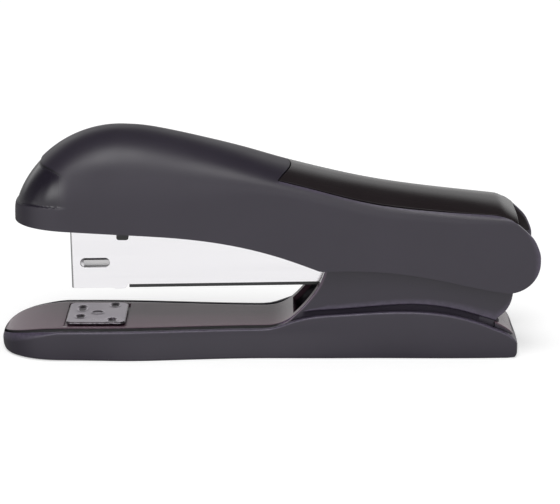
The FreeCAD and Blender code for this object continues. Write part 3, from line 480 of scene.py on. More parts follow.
deck_curve = chain(curve_through([(-73.78, 4.7), (-73.1, 5.55), (-72.0, 6.15), (-70.4, 6.7), (-67.6, 7.35),
                                  (-62.7, 8.05), (-57.4, deck_z)]),
                   straight((-57.4, deck_z), (-2.0, deck_z)),
                   curve_through([(-2.0, deck_z), (1.6, 8.65), (4.9, 9.9), (7.8, 12.2), (11.4, 16.3),
                                  (14.1, 20.5), (16.2, 26.5)]))
cheek_line = curve_through([(3.0, 10.0), (7.0, 12.0), (16.9, 13.5), (33.4, 14.9), (38.9, 15.15), (49.9, 14.1),
                            (62.7, 10.4)])
cheek_top = chain(straight((cheek_front_x, 26.5), (pivot_x, 34.0)),
                  arc((pivot_x, pivot_z), cheek_radius, 90, 0))
cheek_rear = curve_through([(72.2, pivot_z), (69.4, 22.6), (67.4, 18.6), (66.85, 15.9), (66.1, 14.1),
                            (64.95, 12.5), (63.8, 11.5), (62.7, 10.5)])
tail_slope = curve_through([(62.4, 9.9), (65.6, 8.1), (67.3, 6.4), (68.3, 4.5), (68.6, 3.2)])


def inset_at(x, tip, side):
    """How far a line in the plan lies inside the outer wall: tip at the nose, widening to side behind it."""
    return tip + (side - tip) * ease(x, base_front_x + 1.0, base_front_x + 14.0)


def tail_share(x, rear, length):
    """Share of the half width left at x: 1 up to the tail, then a rounded end of superelliptic form."""
    into = np.clip((x - rear + length) / length, 0, 1)
    return np.sqrt(1 - into ** 3)


def plan_half(x, tip, side):
    """Half width at x of the line tip and side inside the plan: superelliptic nose, waist and rear."""
    into = np.clip((x - base_front_x - tip) / base_nose_length, 0, 1)
    nose = (1 - (1 - into) ** base_nose_power) ** (1 / base_nose_power)
    return (base_width(x) - inset_at(x, tip, side)) * nose


def plan_loop(tip, side, count=150):
    """One side of the base's plan from nose tip to tail, as (x, half width), closed at both ends."""
    front, rear = base_front_x + tip, base_rear_x - side
    turn = np.linspace(0, 1, 50) ** 1.5
    end = rear - wall_tail * (1 - np.linspace(0, 1, 34)) ** 2
    middle = np.linspace(front + base_nose_length, rear - wall_tail, count - 82)
    x = np.concatenate([front + base_nose_length * turn, middle[1:-1], end])
    return x, plan_half(x, tip, side) * tail_share(x, rear, wall_tail)


def base_wall(material):
    """The base's outer wall: a closed profile carried round the plan.

    The profile has a rounded foot, a side that flares slightly towards the foot beside the waist, and a rim
    whose outer round is large at the nose and small behind it.
    """
    x0, y0 = plan_loop(0.0, 0.0)
    x1, y1 = plan_loop(tip_wall, shell_wall)
    inner_round, flare_height = 0.4, 7.0
    step = np.linspace(0, math.pi / 2, 7)
    rim0 = np.interp(x0, rim_curve[:, 0], rim_curve[:, 1])
    rim1 = np.interp(x1, rim_curve[:, 0], rim_curve[:, 1])
    keel0 = np.interp(x0, keel_curve[:, 0], keel_curve[:, 1])
    keel1 = np.interp(x1, keel_curve[:, 0], keel_curve[:, 1])
    room = np.maximum(rim0 - keel0, 0.02)
    soft = 1 - ease(x0, base_front_x + 3.0, base_front_x + 17.0)
    wall = np.maximum(np.hypot(x1 - x0, y1 - y0), 0.3)
    tall = np.minimum(rim_round + (nose_round - rim_round) * soft, room * 0.45)[:, None]
    share = np.minimum(0.7, np.minimum(tall, 1.2) / wall[:, None])
    foot_tall = np.minimum(foot_round, room * 0.3)[:, None]
    foot_share = np.minimum(0.3, foot_tall / wall[:, None])
    inner_share = np.minimum(0.25, inner_round / wall[:, None])

    def between(weight, z):
        """Points at height z, weight of the way from the outer plan to the inner plan."""
        x = x0[:, None] + (x1 - x0)[:, None] * weight
        y = y0[:, None] + (y1 - y0)[:, None] * weight
        return surface(x, y, z)

    foot_z = keel0[:, None] + foot_tall * (1 - np.cos(step))[None]
    foot = between(foot_share * (1 - np.sin(step))[None], foot_z)
    low, high = keel0[:, None] + foot_tall, rim0[:, None] - tall
    side_z = np.linspace(0, 1, 12)[None, 1:-1]
    side = between(np.zeros_like(side_z), low + (high - low) * side_z)
    lean = share * (1 - np.cos(step))[None]
    top = between(lean, high + tall * np.sin(step)[None] + (rim1 - rim0)[:, None] * lean)
    turned = (1 - np.cos(step[::-1]))[None]
    fallen = inner_round * np.minimum(1, tall / inner_round) * (1 - np.sin(step[::-1]))[None]
    inner = between(1 - inner_share * turned, rim1[:, None] - fallen)
    down = np.array([[0.7, 0.4, 0.0]])
    drop = between(np.ones((1, 3)), keel1[:, None] + (inner[:, -1:, 2] - keel1[:, None]) * down)
    row = np.concatenate([foot, side, top, inner, drop], axis=1)
    flare = base_flare * ease(x0, -52, -32) * (1 - ease(x0, 0, 34))
    row[..., 1] += flare[:, None] * (1 - np.clip(row[..., 2] / flare_height, 0, 1))
    ring = np.concatenate([row * MIRROR, row[::-1]], axis=0)
    ring = np.concatenate([ring, ring[:1]], axis=0)
    # Rim: the top round of the wall, where the plastic gets a lighter painted highlight.
    rim = np.zeros(ring.shape[:2])
    start = foot.shape[1] + side.shape[1]
    rim[:, start:start + top.shape[1]] = np.sin(step) ** 0.5
    return make_piece("base_wall", [(ring, None, True)], material, "base", "base_shell",
                      sharp=50, extra={"rim": rim})


def base_floor(material):
    """The shell's floor: a closed plate inside the wall, with cross ribs below it."""
    overlap, foot_gap, floor_under, floor_top, thinnest = 0.1, 0.2, 2.2, 3.7, 0.1
    rib_half, rib_pitch, rib_heights = 0.7, 22.0, np.array([0.6, 2.3])
    x, half = plan_loop(tip_wall - overlap, shell_wall - overlap, 130)
    lift = np.maximum(np.interp(x, keel_curve[:, 0], keel_curve[:, 1]) + foot_gap, floor_under)
    across = np.linspace(-1, 1, 9)[None]
    top = surface(x[:, None], half[:, None] * across, np.maximum(lift, floor_top)[:, None])
    under = top.copy()
    under[..., 2] = np.minimum(lift, floor_top - thinnest)[:, None]
    plate = np.concatenate([top, under[:, ::-1]], axis=1)
    grids = [(plate, None, True)]
    ring = np.array([[-rib_half, -1], [rib_half, -1], [rib_half, 1], [-rib_half, 1]])
    for rib_x in np.arange(-52.4, 69, rib_pitch):
        y = float(plan_half(np.array([rib_x]), tip_wall, shell_wall)[0])
        rib = surface(rib_x + ring[None, :, 0], y * ring[None, :, 1], rib_heights[:, None])
        grids.append((rib, None, True))
        grids.append((rib[:1, [0, 1, 3, 2]].reshape(2, 2, 3), None, False))
    return make_piece("base_floor", grids, material, "base", "base_shell")


def frame_along(curve):
    """Unit normals of a side-view curve, to its left as it runs towards the rear."""
    d = np.gradient(curve, axis=0)
    d = d / np.maximum(np.linalg.norm(d, axis=1, keepdims=True), 1e-9)
    return np.stack([-d[:, 1], d[:, 0]], axis=1)


def cover_half(x):
    """Half width of the inner cover at x."""
    return plan_half(x, tip_wall + tip_groove, shell_wall + groove)


def side_rows(x, top, low):
    """Rows down the cover's side: a flat face to the cheek line, a rounded edge, and a face set in below it.

    Returns, for each station, how far its rows are set in, their heights, and how far each lies on the edge.
    """
    face_rows, under_rows, edge_radius = 10, 6, 0.4
    line = np.clip(np.interp(x, cheek_line[:, 0], cheek_line[:, 1]), low, top)
    depth = cheek_step * ease(x, 4.0, 7.5) * ease(top - line, 0.2, 1.5)
    depth = np.minimum(depth, (line - low) * 0.3)[:, None]
    top, line, low = top[:, None], line[:, None], low[:, None]
    radius = np.minimum(edge_radius, depth)
    turn = np.linspace(0, math.pi / 2, 6)[None]
    last = np.minimum(0.3 / np.maximum(top - line, 0.1), 0.09)
    shares = np.concatenate([np.linspace(1, 0.1, face_rows)[None] + 0 * last, last], axis=1)
    face_z = line + (top - line) * shares
    edge_z = line - radius * np.sin(turn)
    under_z = line - radius - (line - radius - low) * np.linspace(0.02, 1, under_rows)[None]
    z = np.concatenate([face_z, edge_z, under_z], axis=1)
    edge_inset = radius * (1 - np.cos(turn))
    inset = np.concatenate([np.zeros(face_z.shape), edge_inset, np.repeat(depth, under_rows, 1)], axis=1)
    # The rim value marks the rounded edge of the step, where the plastic gets a lighter painted highlight.
    rim = np.concatenate([np.zeros(face_rows), [0.9, 1, 1, 1, 0.6, 0.2, 0], np.zeros(under_rows)])
    return inset, z, np.broadcast_to(rim, z.shape)


def deck_sheet(material):
    """Deck and throat in one sheet: the deck's side curve carried across, with a rolled edge and skirts.

    The columns go up the near skirt, round the edge by a quarter circle in the curve's own normal, across,
    and down again. The deck dips into a shallow pocket round the anvil plate, and the quads over the rail's
    slot are left out.
    """
    front_x, front_z, level_from, level_to = base_front_x + tip_wall + tip_groove, 4.7, -58.0, -2.0
    low_rows, high_rows = 26, 30
    border, border_columns, inner_columns = 3.0, 5, 17
    nose = deck_curve[(deck_curve[:, 0] < level_from) & (deck_curve[:, 0] > front_x)]
    nose = respaced(np.concatenate([[[front_x, front_z]], nose]), np.linspace(0, 1, 40) ** 1.5)
    pocket_ends = [anvil_x + end * pocket_length / 2 + step for end in (-1, 1) for step in (-0.04, 0.04)]
    level_x = np.sort(np.concatenate([np.linspace(level_from, level_to, 57), pocket_ends]))
    level = np.stack([level_x, np.full(level_x.shape, deck_z)], axis=1)
    sweep = deck_curve[deck_curve[:, 0] > level_to]
    below, above = sweep[sweep[:, 1] < slot_bottom_z], sweep[sweep[:, 1] >= slot_bottom_z]
    curve = np.concatenate([nose[:-1], level, respaced(below, np.linspace(0, 1, low_rows))[1:],
                            respaced(above, np.linspace(0, 1, high_rows))])
    slot_from = len(nose) - 1 + len(level) + low_rows - 2
    normal = frame_along(curve)
    half = cover_half(curve[:, 0])
    edge = np.minimum(0.8 - 0.4 * ease(curve[:, 1], 9.0, 12.0), half * 0.5)[:, None]
    flat_half = half[:, None] - edge
    slot_column = pocket_width / 2 - 0.08
    outer_half = pocket_width / 2 + border
    outer = np.linspace(1, 0, border_columns)[None] * border + pocket_width / 2
    inner = np.linspace(-1, 1, inner_columns)[None] * slot_column
    columns = np.concatenate([-outer, inner, outer[:, ::-1]], axis=1)
    scale = np.minimum(1, flat_half / outer_half)
    scale = np.where(curve[:, :1] > 4.0, slot_half_width / slot_column, scale)
    beyond = np.clip((np.abs(columns) - slot_column) / (outer_half - slot_column), 0, 1)
    y_inner = np.minimum(np.abs(columns), slot_column) * scale
    y_deck = np.sign(columns) * (y_inner + beyond * (flat_half - slot_column * scale))
    deck = surface(curve[:, None, 0], y_deck, curve[:, None, 1])
    along_pocket = np.abs(deck[..., 0] - anvil_x) < pocket_length / 2
    across_pocket = np.abs(deck[..., 1]) < pocket_width / 2 - 0.02
    deck[..., 2] -= pocket_depth * (along_pocket & across_pocket)
    roll = np.linspace(0, math.pi / 2, 5)[None]

    def rolled(side):
        """Quarter circle between a skirt and the deck."""
        y = side * (half[:, None] - edge * (1 - np.cos(roll)))
        off = edge * (1 - np.sin(roll))
        x = curve[:, None, 0] - normal[:, None, 0] * off
        return surface(x, y, curve[:, None, 1] - normal[:, None, 1] * off)

    near, far = rolled(-1)[:, :-1], rolled(1)[:, ::-1][:, 1:]
    inset, skirt_z, edge_rim = side_rows(curve[:, 0], near[:, 0, 2], np.minimum(cover_foot_z, near[:, 0, 2]))
    skirt = surface(near[:, :1, 0], near[:, :1, 1] + inset, skirt_z)[:, :0:-1]
    points = np.concatenate([skirt, near, deck, far, (skirt * MIRROR)[:, ::-1]], axis=1)
    keep = np.ones((points.shape[0] - 1, points.shape[1] - 1), bool)
    first = skirt.shape[1] + near.shape[1] + border_columns
    keep[slot_from:, first:first + inner_columns - 1] = False
    # Rim: the skirts' rounded step and the rolled edges where the deck rises, for a lighter painted
    # highlight.
    side_rim = edge_rim[:, :0:-1]
    deck_rim = np.zeros((len(curve), near.shape[1] + deck.shape[1] + far.shape[1]))
    # shown: 0 along the low deck and 1 where it rises towards the throat; it picks the rolled edge's painted
    # shade or its painted highlight.
    shown = ease(curve[:, 1], 8.6, 9.6)[:, None]
    deck_rim[:, :near.shape[1] + 1] = shown
    deck_rim[:, -far.shape[1] - 1:] = shown
    rim = np.concatenate([side_rim, deck_rim, side_rim[:, ::-1]], axis=1)
    # The deck takes the painted reflection colour (1), and so do its rolled edges where it rises; where it is
    # low, the rolled edges and the skirts' top two rows take near-black painted shade (-1).
    side_gloss_and_painted_light = np.zeros(side_rim.shape)
    gloss_and_painted_light = np.concatenate([side_gloss_and_painted_light, np.ones(deck_rim.shape), side_gloss_and_painted_light], axis=1)
    count, edges = skirt.shape[1], near.shape[1]
    gloss_and_painted_light[:, count:count + edges] = 2 * shown - 1
    gloss_and_painted_light[:, -count - edges:-count] = 2 * shown - 1
    gloss_and_painted_light[:, count - 2:count] = shown - 1
    gloss_and_painted_light[:, -count:2 - count] = shown - 1
    return make_piece("deck_sheet", [(points, keep, False)], material, "base", "base_cover",
                      thick=cover_wall, bevel=0.25, extra={"rim": rim, "gloss_and_painted_light": gloss_and_painted_light})


def base_cheeks(material):
    """Two cheeks behind the throat: upright rows from the hinge outline to the foot, set in below a line."""
    rear = respaced(cheek_rear[::-1], np.linspace(0, 1, 26))
    stations = 96
    x = np.concatenate([np.linspace(cheek_front_x, 62.68, stations), rear[:, 0]])
    low = np.concatenate([np.full(stations, cover_foot_z), rear[:, 1]])
    top = np.maximum(np.interp(x, cheek_top[:, 0], cheek_top[:, 1]), low)
    # The step's rounded edge carries the rim value, for a lighter painted highlight.
    inset, z, edge_rim = side_rows(x, top, low)
    cheek = surface(x[:, None], inset - cover_half(x)[:, None], z)
    grids = [(cheek, None, False), (cheek * MIRROR, None, False)]
    return make_piece("base_cheeks", grids, material, "base", "base_cover", thick=cover_wall,
                      bevel=0.4, extra={"rim": np.tile(edge_rim.ravel(), 2)})


def tail_sheet(material):
    """The cover's rear slope with a rounded plan, and the low back wall between the cheeks."""
    set_in, end_x, foot_z = 2.3, 69.15, 3.0
    back_half, back_top_z = 10.4, 17.4
    skirt_rows = 4
    curve = respaced(tail_slope, np.sin(np.linspace(0, math.pi / 2, 34)))
    across = np.linspace(-1, 1, 25)[None]
    half = (base_width(curve[:, 0]) - set_in) * np.maximum(tail_share(curve[:, 0], end_x, tail_length), 0.02)
    slope = surface(curve[:, None, 0], half[:, None] * across, curve[:, None, 1])
    skirt = slope[:, :1] * np.ones((1, skirt_rows, 1))
    skirt[..., 2] = foot_z + (skirt[..., 2] - foot_z) * np.linspace(0, 0.9, skirt_rows)[None]
    slope = np.concatenate([skirt, slope, (skirt * MIRROR)[:, ::-1]], axis=1)
    back = respaced(cheek_rear[cheek_rear[:, 1] < back_top_z], np.linspace(0, 1, 20))
    wall = surface(back[:, None, 0], back_half * across, back[:, None, 1])
    # The slope takes the deck's painted reflection colour and gloss; its skirts and the back wall don't.
    flat = np.ones(slope.shape[:2])
    flat[:, :skirt_rows] = flat[:, -skirt_rows:] = 0
    gloss_and_painted_light = np.concatenate([flat.ravel(), np.zeros(wall.shape[:2]).ravel()])
    grids = [(slope, None, False), (wall, None, False)]
    return make_piece("tail_sheet", grids, material, "base", "base_cover", thick=1.2,
                      bevel=0.3, extra={"gloss_and_painted_light": gloss_and_painted_light})


# ------------------------------------------------------------------ sheet metal, springs and small parts
def pressed(node, name, material, body, bevel):
    """A packed sheet-metal part with its flat faces whole again and its edges rounded."""
    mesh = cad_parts[node].data.copy()
    mesh.name = name
    mesh.materials.clear()
    mesh.materials.append(material)
    work = bmesh.new()
    work.from_mesh(mesh)
    bmesh.ops.remove_doubles(work, verts=work.verts, dist=2e-6)
    bmesh.ops.dissolve_limit(work, angle_limit=math.radians(1.0), verts=work.verts, edges=work.edges)
    work.to_mesh(mesh)
    work.free()
    mesh.shade_smooth()
    mesh.set_sharp_from_angle(angle=math.radians(30))
    piece = new_object(name, mesh)
    round_off(piece, bevel, angle=50)
    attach(piece, body)
    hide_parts(node)
    return piece


def anvil_sheet(material):
    """The anvil's plate as a height field: a rounded rectangle whose edge falls away, with pressed grooves.

    Two short grooves lie close together at one end and two apart at the other, for closed and open legs, and
    the post's end is staked in the middle as a low ring.
    """
    low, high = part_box("anvil_plate")
    half_x, half_y = (high.x - low.x) / MM / 2, (high.y - low.y) / MM / 2
    middle_x, top_z = (high.x + low.x) / MM / 2, high.z / MM
    corner, edge_fall, groove_depth, ridge = 1.9, 0.18, 0.35, 0.07
    x = half_x * closer_at_ends(131, 0.2)
    past = np.maximum(np.abs(x) - half_x + corner, 0)
    half = half_y - corner + np.sqrt(np.maximum(corner ** 2 - past ** 2, 0))
    x, y = x[:, None], half[:, None] * closer_at_ends(141, 0.2)[None]
    over_x = np.maximum(np.abs(x) - half_x + corner, 0)
    over_y = np.maximum(np.abs(y) - half_y + corner, 0)
    edge = corner - np.minimum(np.hypot(over_x, over_y), corner)
    z = top_z - edge_fall * (1 - ease(edge, 0, 0.4))
    # Rim: where the plate's colour darkens to a painted shade, on its falling edge, in the grooves and round
    # the staked ring.
    rim = 1 - ease(edge, 0.1, 0.45)
    for place_x, place_y, long_y in ((-4.5, 4.0, 2.9), (-4.5, -4.0, 1.9), (4.5, 7.4, 2.1), (4.5, -7.4, 2.1)):
        away = np.hypot((x - place_x) / 1.4, (y - place_y) / long_y)
        z = z - groove_depth * (1 - ease(away, 0.6, 1.0)) + ridge * np.exp(-((away - 1.12) / 0.12) ** 2)
        rim = np.maximum(rim, 0.95 * (1 - ease(away, 0.6, 0.95)))
    ring = np.hypot(x, y)
    z = z + 0.1 * np.exp(-((ring - 1.7) / 0.22) ** 2) - 0.12 * (1 - ease(ring, 1.1, 1.5))
    points = surface(middle_x + x, y, z)
    rim = np.maximum(rim, 0.6 * np.exp(-((ring - 1.35) / 0.25) ** 2))
    return make_piece("anvil_sheet", [(points, None, False)], material, "anvil", "anvil_plate",
                      thick=0.5, sharp=60, extra={"rim": rim})


def coil_spring(material):
    """The follower's spring: a wire circle carried along a helix whose end turns lie close."""
    low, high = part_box("follower_spring")
    tilt = math.radians(0.9)
    coil_radius, wire_radius, drop, margin, turns = 1.5, 0.22, 2.9, 0.25, 14
    axis = np.array([math.cos(tilt), 0, math.sin(tilt)])
    up = np.array([-math.sin(tilt), 0, math.cos(tilt)])
    side = np.array([0, 1.0, 0])
    start = np.array([low.x, 0, 0]) / MM + [margin, 0, 0]
    start[2] = pivot_z - drop + (start[0] - pivot_x) * math.tan(tilt)
    length = (high.x - low.x) / MM - 2 * margin
    t = np.linspace(0, 1, turns * 18 + 1)
    along = length * (t - 0.022 * np.sin(2 * math.pi * t))
    angle = t * turns * 2 * math.pi
    radial = np.cos(angle)[:, None] * side + np.sin(angle)[:, None] * up
    centre = start + along[:, None] * axis + coil_radius * radial
    ahead = np.gradient(centre, axis=0)
    ahead = ahead / np.linalg.norm(ahead, axis=1, keepdims=True)
    third = np.cross(ahead, radial)
    ring = np.linspace(0, 2 * math.pi, 7)[:-1]
    spokes = np.cos(ring)[None, :, None] * radial[:, None] + np.sin(ring)[None, :, None] * third[:, None]
    points = centre[:, None] + wire_radius * spokes
    return make_piece("follower_coil", [(points, None, True)], material, "magazine", "follower_spring")


# ------------------------------------------------------------------ finishes
class Board:
    """Places nodes in a node tree and wires them."""

    def __init__(self, tree):
        self.tree = tree

    def add(self, kind, settings=None, inputs=None):
        """One node, with its settings and its input sockets by name or number."""
        node = self.tree.nodes.new(kind)
        for key, value in (settings or {}).items():
            setattr(node, key, value)
        for key, value in (inputs or {}).items():
            if isinstance(value, bpy.types.NodeSocket):
                self.tree.links.new(value, node.inputs[key])
            else:
                node.inputs[key].default_value = value
        return node

    def math(self, operation, first, second=0.0, third=0.0, clamp=False):
        """The result of one arithmetic step."""
        node = self.add("ShaderNodeMath", {"operation": operation, "use_clamp": clamp},
                        {0: first, 1: second, 2: third})
        return node.outputs[0]

    def times(self, first, *others):
        """The product of its values."""
        for other in others:
            first = self.math("MULTIPLY", first, other)
        return first

    def between(self, value, low, high, to_low=0.0, to_high=1.0):
        """A value carried from one range to another and held inside it."""
        ranges = {"Value": value, "From Min": low, "From Max": high, "To Min": to_low, "To Max": to_high}
        return self.add("ShaderNodeMapRange", {"clamp": True}, ranges).outputs[0]

    def noise(self, vector, scale, detail=2.0, roughness=0.5):
        """A noise value between about 0 and 1."""
        node = self.add("ShaderNodeTexNoise", None,
                        {"Vector": vector, "Scale": scale, "Detail": detail, "Roughness": roughness})
        return node.outputs[0]

    def place(self):
        """The point on the piece, in metres."""
        return self.add("ShaderNodeTexCoord").outputs["Object"]

    def axes(self, vector):
        """The three parts of a vector."""
        return self.add("ShaderNodeSeparateXYZ", None, {"Vector": vector}).outputs

    def painted(self, name):
        """A value that the piece carries at each point, or 0."""
        return self.add("ShaderNodeAttribute", {"attribute_name": name}).outputs["Fac"]

    def join(self, value, socket):
        """Wire an output to an input."""
        self.tree.links.new(value, socket)

    def bump(self, shader, strength, distance, height):
        """Fine relief on a shader: distance is its depth in metres."""
        relief = {"Strength": strength, "Distance": distance, "Height": height}
        self.join(self.add("ShaderNodeBump", None, relief).outputs[0], shader.inputs["Normal"])

    def blend(self, share, first, second):
        """A colour between two colours."""
        node = self.add("ShaderNodeMix", {"data_type": "RGBA"}, {0: share, 6: first, 7: second})
        return node.outputs[2]


def effect(name, inputs, outputs):
    """An empty shader node group with named value inputs and outputs, and its board."""
    group = bpy.data.node_groups.new(name, "ShaderNodeTree")
    for key, value in inputs.items():
        socket = group.interface.new_socket(name=key, in_out="INPUT", socket_type="NodeSocketFloat")
        socket.default_value = value
    for key in outputs:
        group.interface.new_socket(name=key, in_out="OUTPUT", socket_type="NodeSocketFloat")
    board = Board(group)
    source = group.nodes.new("NodeGroupInput")
    target = group.nodes.new("NodeGroupOutput")
    return group, board, source.outputs, target.inputs


def moulded_grain():
    """Fine spark-eroded grain: two sizes of noise as height, and a slow mottle of the surface."""
    group, board, given, out = effect("moulded_grain", {"Grain per metre": 5200.0, "Mottle per metre": 55.0},
                                      ["Height", "Mottle"])
    place = board.place()
    fine = board.noise(place, given["Grain per metre"], 1.0)
    pits = board.noise(place, board.times(given["Grain per metre"], 0.37), 2.0, 0.6)
    height = board.math("ADD", board.times(fine, 0.55), board.times(pits, 0.45))
    mottle = board.between(board.noise(place, given["Mottle per metre"], 3.0, 0.55), 0.32, 0.68)
    board.join(height, out["Height"])
    board.join(mottle, out["Mottle"])
    return group


def painted_rims_and_smudges():
    """Where rims and lips take painted light, from the piece's own rim value, and faint smudges from hands.
    """
    group, board, given, out = effect("painted_rims_and_smudges", {"Spots per metre": 900.0, "Amount": 0.5},
                                      ["Rim", "Smudge"])
    place = board.place()
    rim = board.painted("rim")
    spots = board.between(board.noise(place, given["Spots per metre"], 4.0, 0.65), 0.42, 0.62)
    patchy = board.math("MULTIPLY_ADD", spots, 0.4, 0.6)
    # A painted highlight on plastic rims and a painted shade on the anvil's, uneven in spots.
    rim_paint = board.math("MULTIPLY", board.times(rim, patchy), given["Amount"], clamp=True)
    smudge = board.between(board.noise(place, 38.0, 5.0, 0.62), 0.46, 0.66)
    board.join(rim_paint, out["Rim"])
    board.join(smudge, out["Smudge"])
    return group


def rolled_grain():
    """Long fine lines of rolled or ground sheet metal, stretched along X, with broad bands of tone."""
    group, board, given, out = effect("rolled_grain", {"Lines per metre": 9000.0, "Stretch": 40.0},
                                      ["Height", "Tone"])
    place = board.place()
    shrink = board.math("DIVIDE", 1.0, given["Stretch"])
    stretch = board.add("ShaderNodeCombineXYZ", None, {"X": shrink, "Y": 1.0, "Z": 1.0}).outputs[0]
    along = board.add("ShaderNodeVectorMath", {"operation": "MULTIPLY"}, {0: place, 1: stretch}).outputs[0]
    lines = board.noise(along, given["Lines per metre"], 2.0, 0.5)
    bands = board.noise(along, board.times(given["Lines per metre"], 0.05), 3.0)
    tone = board.between(bands, 0.3, 0.7)
    board.join(lines, out["Height"])
    board.join(tone, out["Tone"])
    return group


GRAIN = moulded_grain()
PAINTED_RIMS_AND_SMUDGES = painted_rims_and_smudges()
ROLLED = rolled_grain()


def placed(board, group, values=None):
    """A node group's outputs in a material, with the material's own values."""
    node = board.add("ShaderNodeGroup", {"node_tree": group})
    for key, value in (values or {}).items():
        node.inputs[key].default_value = value
    return node.outputs


def finish(name, **constants):
    """A new material's board and its shader, with constant values on the shader's own sockets."""
    material = bpy.data.materials.new(name)
    material.use_nodes = True
    board = Board(material.node_tree)
    shader = material.node_tree.nodes["Principled BSDF"]
    for key, value in constants.items():
        shader.inputs[key.replace("_", " ")].default_value = value
    return material, board, shader


def moulded_plastic(name, dark, light, rough, rough_span, grain_depth, seams=False, deck=None, **constants):
    """Moulded plastic: a faint mottle of two close colours, fine grain, painted rim highlights, hand smudges.

    Rims get a lighter colour, a painted highlight, and less roughness. Where the piece's painted-light value
    is above
    0, a deck colour goes on, a lighter, warmer painted reflection, with more gloss; where it is below 0, a
    near-black line of painted shade. Seams add the nose's two dark lines and its polished panel.
    """
    rim_highlight_gain, rim_gloss, smudge_gloss = 3.6, 0.12, 0.04
    deck_gloss, line_matt, panel_gloss = 0.21, 0.3, 0.22
    material, board, shader = finish(name, **constants)
    grain = placed(board, GRAIN)
    rims_and_smudges = placed(board, PAINTED_RIMS_AND_SMUDGES, {"Amount": 0.8})
    colour = board.blend(grain["Mottle"], (*dark, 1), (*light, 1))
    roughness = board.between(grain["Mottle"], 0, 1, rough - rough_span, rough + rough_span)
    roughness = board.math("ADD", roughness, board.times(rims_and_smudges["Smudge"], -smudge_gloss))
    if deck:
        # The deck colour, lighter and warmer than the plastic, is a painted reflection on faces that look up;
        # they also get real gloss.
        gloss_and_painted_light = board.painted("gloss_and_painted_light")
        shade = board.math("MULTIPLY", gloss_and_painted_light, -1.0, clamp=True)
        gloss_and_painted_light = board.math("MULTIPLY", gloss_and_painted_light, 1.0, clamp=True)
        colour = board.blend(gloss_and_painted_light, colour, (*deck, 1))
        # A near-black painted shade line where the value is below 0, along the deck's low rolled edges.
        colour = board.blend(shade, colour, (0.0015, 0.0012, 0.002, 1))
        roughness = board.math("MULTIPLY_ADD", gloss_and_painted_light, -deck_gloss, roughness)
        roughness = board.math("MULTIPLY_ADD", shade, line_matt, roughness)
    # Rims take a lighter colour, which is a painted highlight, and less roughness, which is real gloss.
    rim_paint = tuple(min(1.0, rim_highlight_gain * c) for c in light)
    colour = board.blend(rims_and_smudges["Rim"], colour, (*rim_paint, 1))
    roughness = board.math("MULTIPLY_ADD", rims_and_smudges["Rim"], -rim_gloss, roughness)
    if seams:
        line, polish = nose_lines(board)
        colour = board.blend(board.times(line, 0.85), colour, (0.004, 0.004, 0.005, 1))
        colour = board.blend(board.times(polish, 0.4), colour, (0.004, 0.0035, 0.006, 1))
        roughness = board.math("MULTIPLY_ADD", polish, -panel_gloss, roughness)
    board.join(colour, shader.inputs["Base Color"])
    board.join(roughness, shader.inputs["Roughness"])
    board.bump(shader, 0.5, grain_depth, grain["Height"])
    return material


def nose_lines(board):
    """The two seams round the nose as thin dark lines, and the polished panel between them."""
    axes = board.axes(board.place())
    half_line, soft = 0.00010, 0.00014
    lines = []
    for side, (x, z, bow), end, deep in (("MAXIMUM", upper_seam, -0.0545, 1.0),
                                         ("MINIMUM", lower_seam, -0.0620, 0.35)):
        run = board.math(side, board.math("SUBTRACT", axes["X"], x * MM), 0.0)
        level = board.math("MULTIPLY_ADD", board.times(run, run), -bow / MM, z * MM)
        off = board.math("ABSOLUTE", board.math("SUBTRACT", axes["Z"], level))
        thin = board.between(off, half_line, half_line + soft, 1.0, 0.0)
        lines.append(board.times(thin, board.between(axes["X"], end - 0.004, end + 0.001, deep, 0.0)))
    return board.math("MAXIMUM", lines[0], lines[1]), board.painted("polish")


def sheet_steel(name, tone_a, tone_b, rough_a, rough_b, lines=9000.0, depth=0.000004, stretch=40.0,
                metallic=1.0):
    """Plated or coated sheet steel: two close tones along rolled lines, fine relief, painted shade at rims.
    """
    material, board, shader = finish(name, Metallic=metallic)
    rolled = placed(board, ROLLED, {"Lines per metre": lines, "Stretch": stretch})
    rims_and_smudges = placed(board, PAINTED_RIMS_AND_SMUDGES, {"Amount": 1.0})
    colour = board.blend(rolled["Tone"], (*tone_a, 1), (*tone_b, 1))
    # The colour darkens to a painted shade where the piece carries a rim value.
    rim_shade_tone = 0.12
    rim_shade = tuple(c * rim_shade_tone for c in tone_a)
    colour = board.blend(rims_and_smudges["Rim"], colour, (*rim_shade, 1))
    board.join(colour, shader.inputs["Base Color"])
    roughness = board.between(rolled["Tone"], 0, 1, rough_a, rough_b)
    roughness = board.math("ADD", roughness, board.times(rims_and_smudges["Smudge"], 0.05))
    board.join(roughness, shader.inputs["Roughness"])
    board.bump(shader, 0.4, depth, rolled["Height"])
    return material


SHADE = ((0.0205, 0.0165, 0.0265), (0.0235, 0.0192, 0.030))
body_plastic = moulded_plastic("body_plastic", *SHADE, 0.44, 0.03, 0.00002)
head_plastic = moulded_plastic("head_plastic", *SHADE, 0.44, 0.03, 0.00002, seams=True)
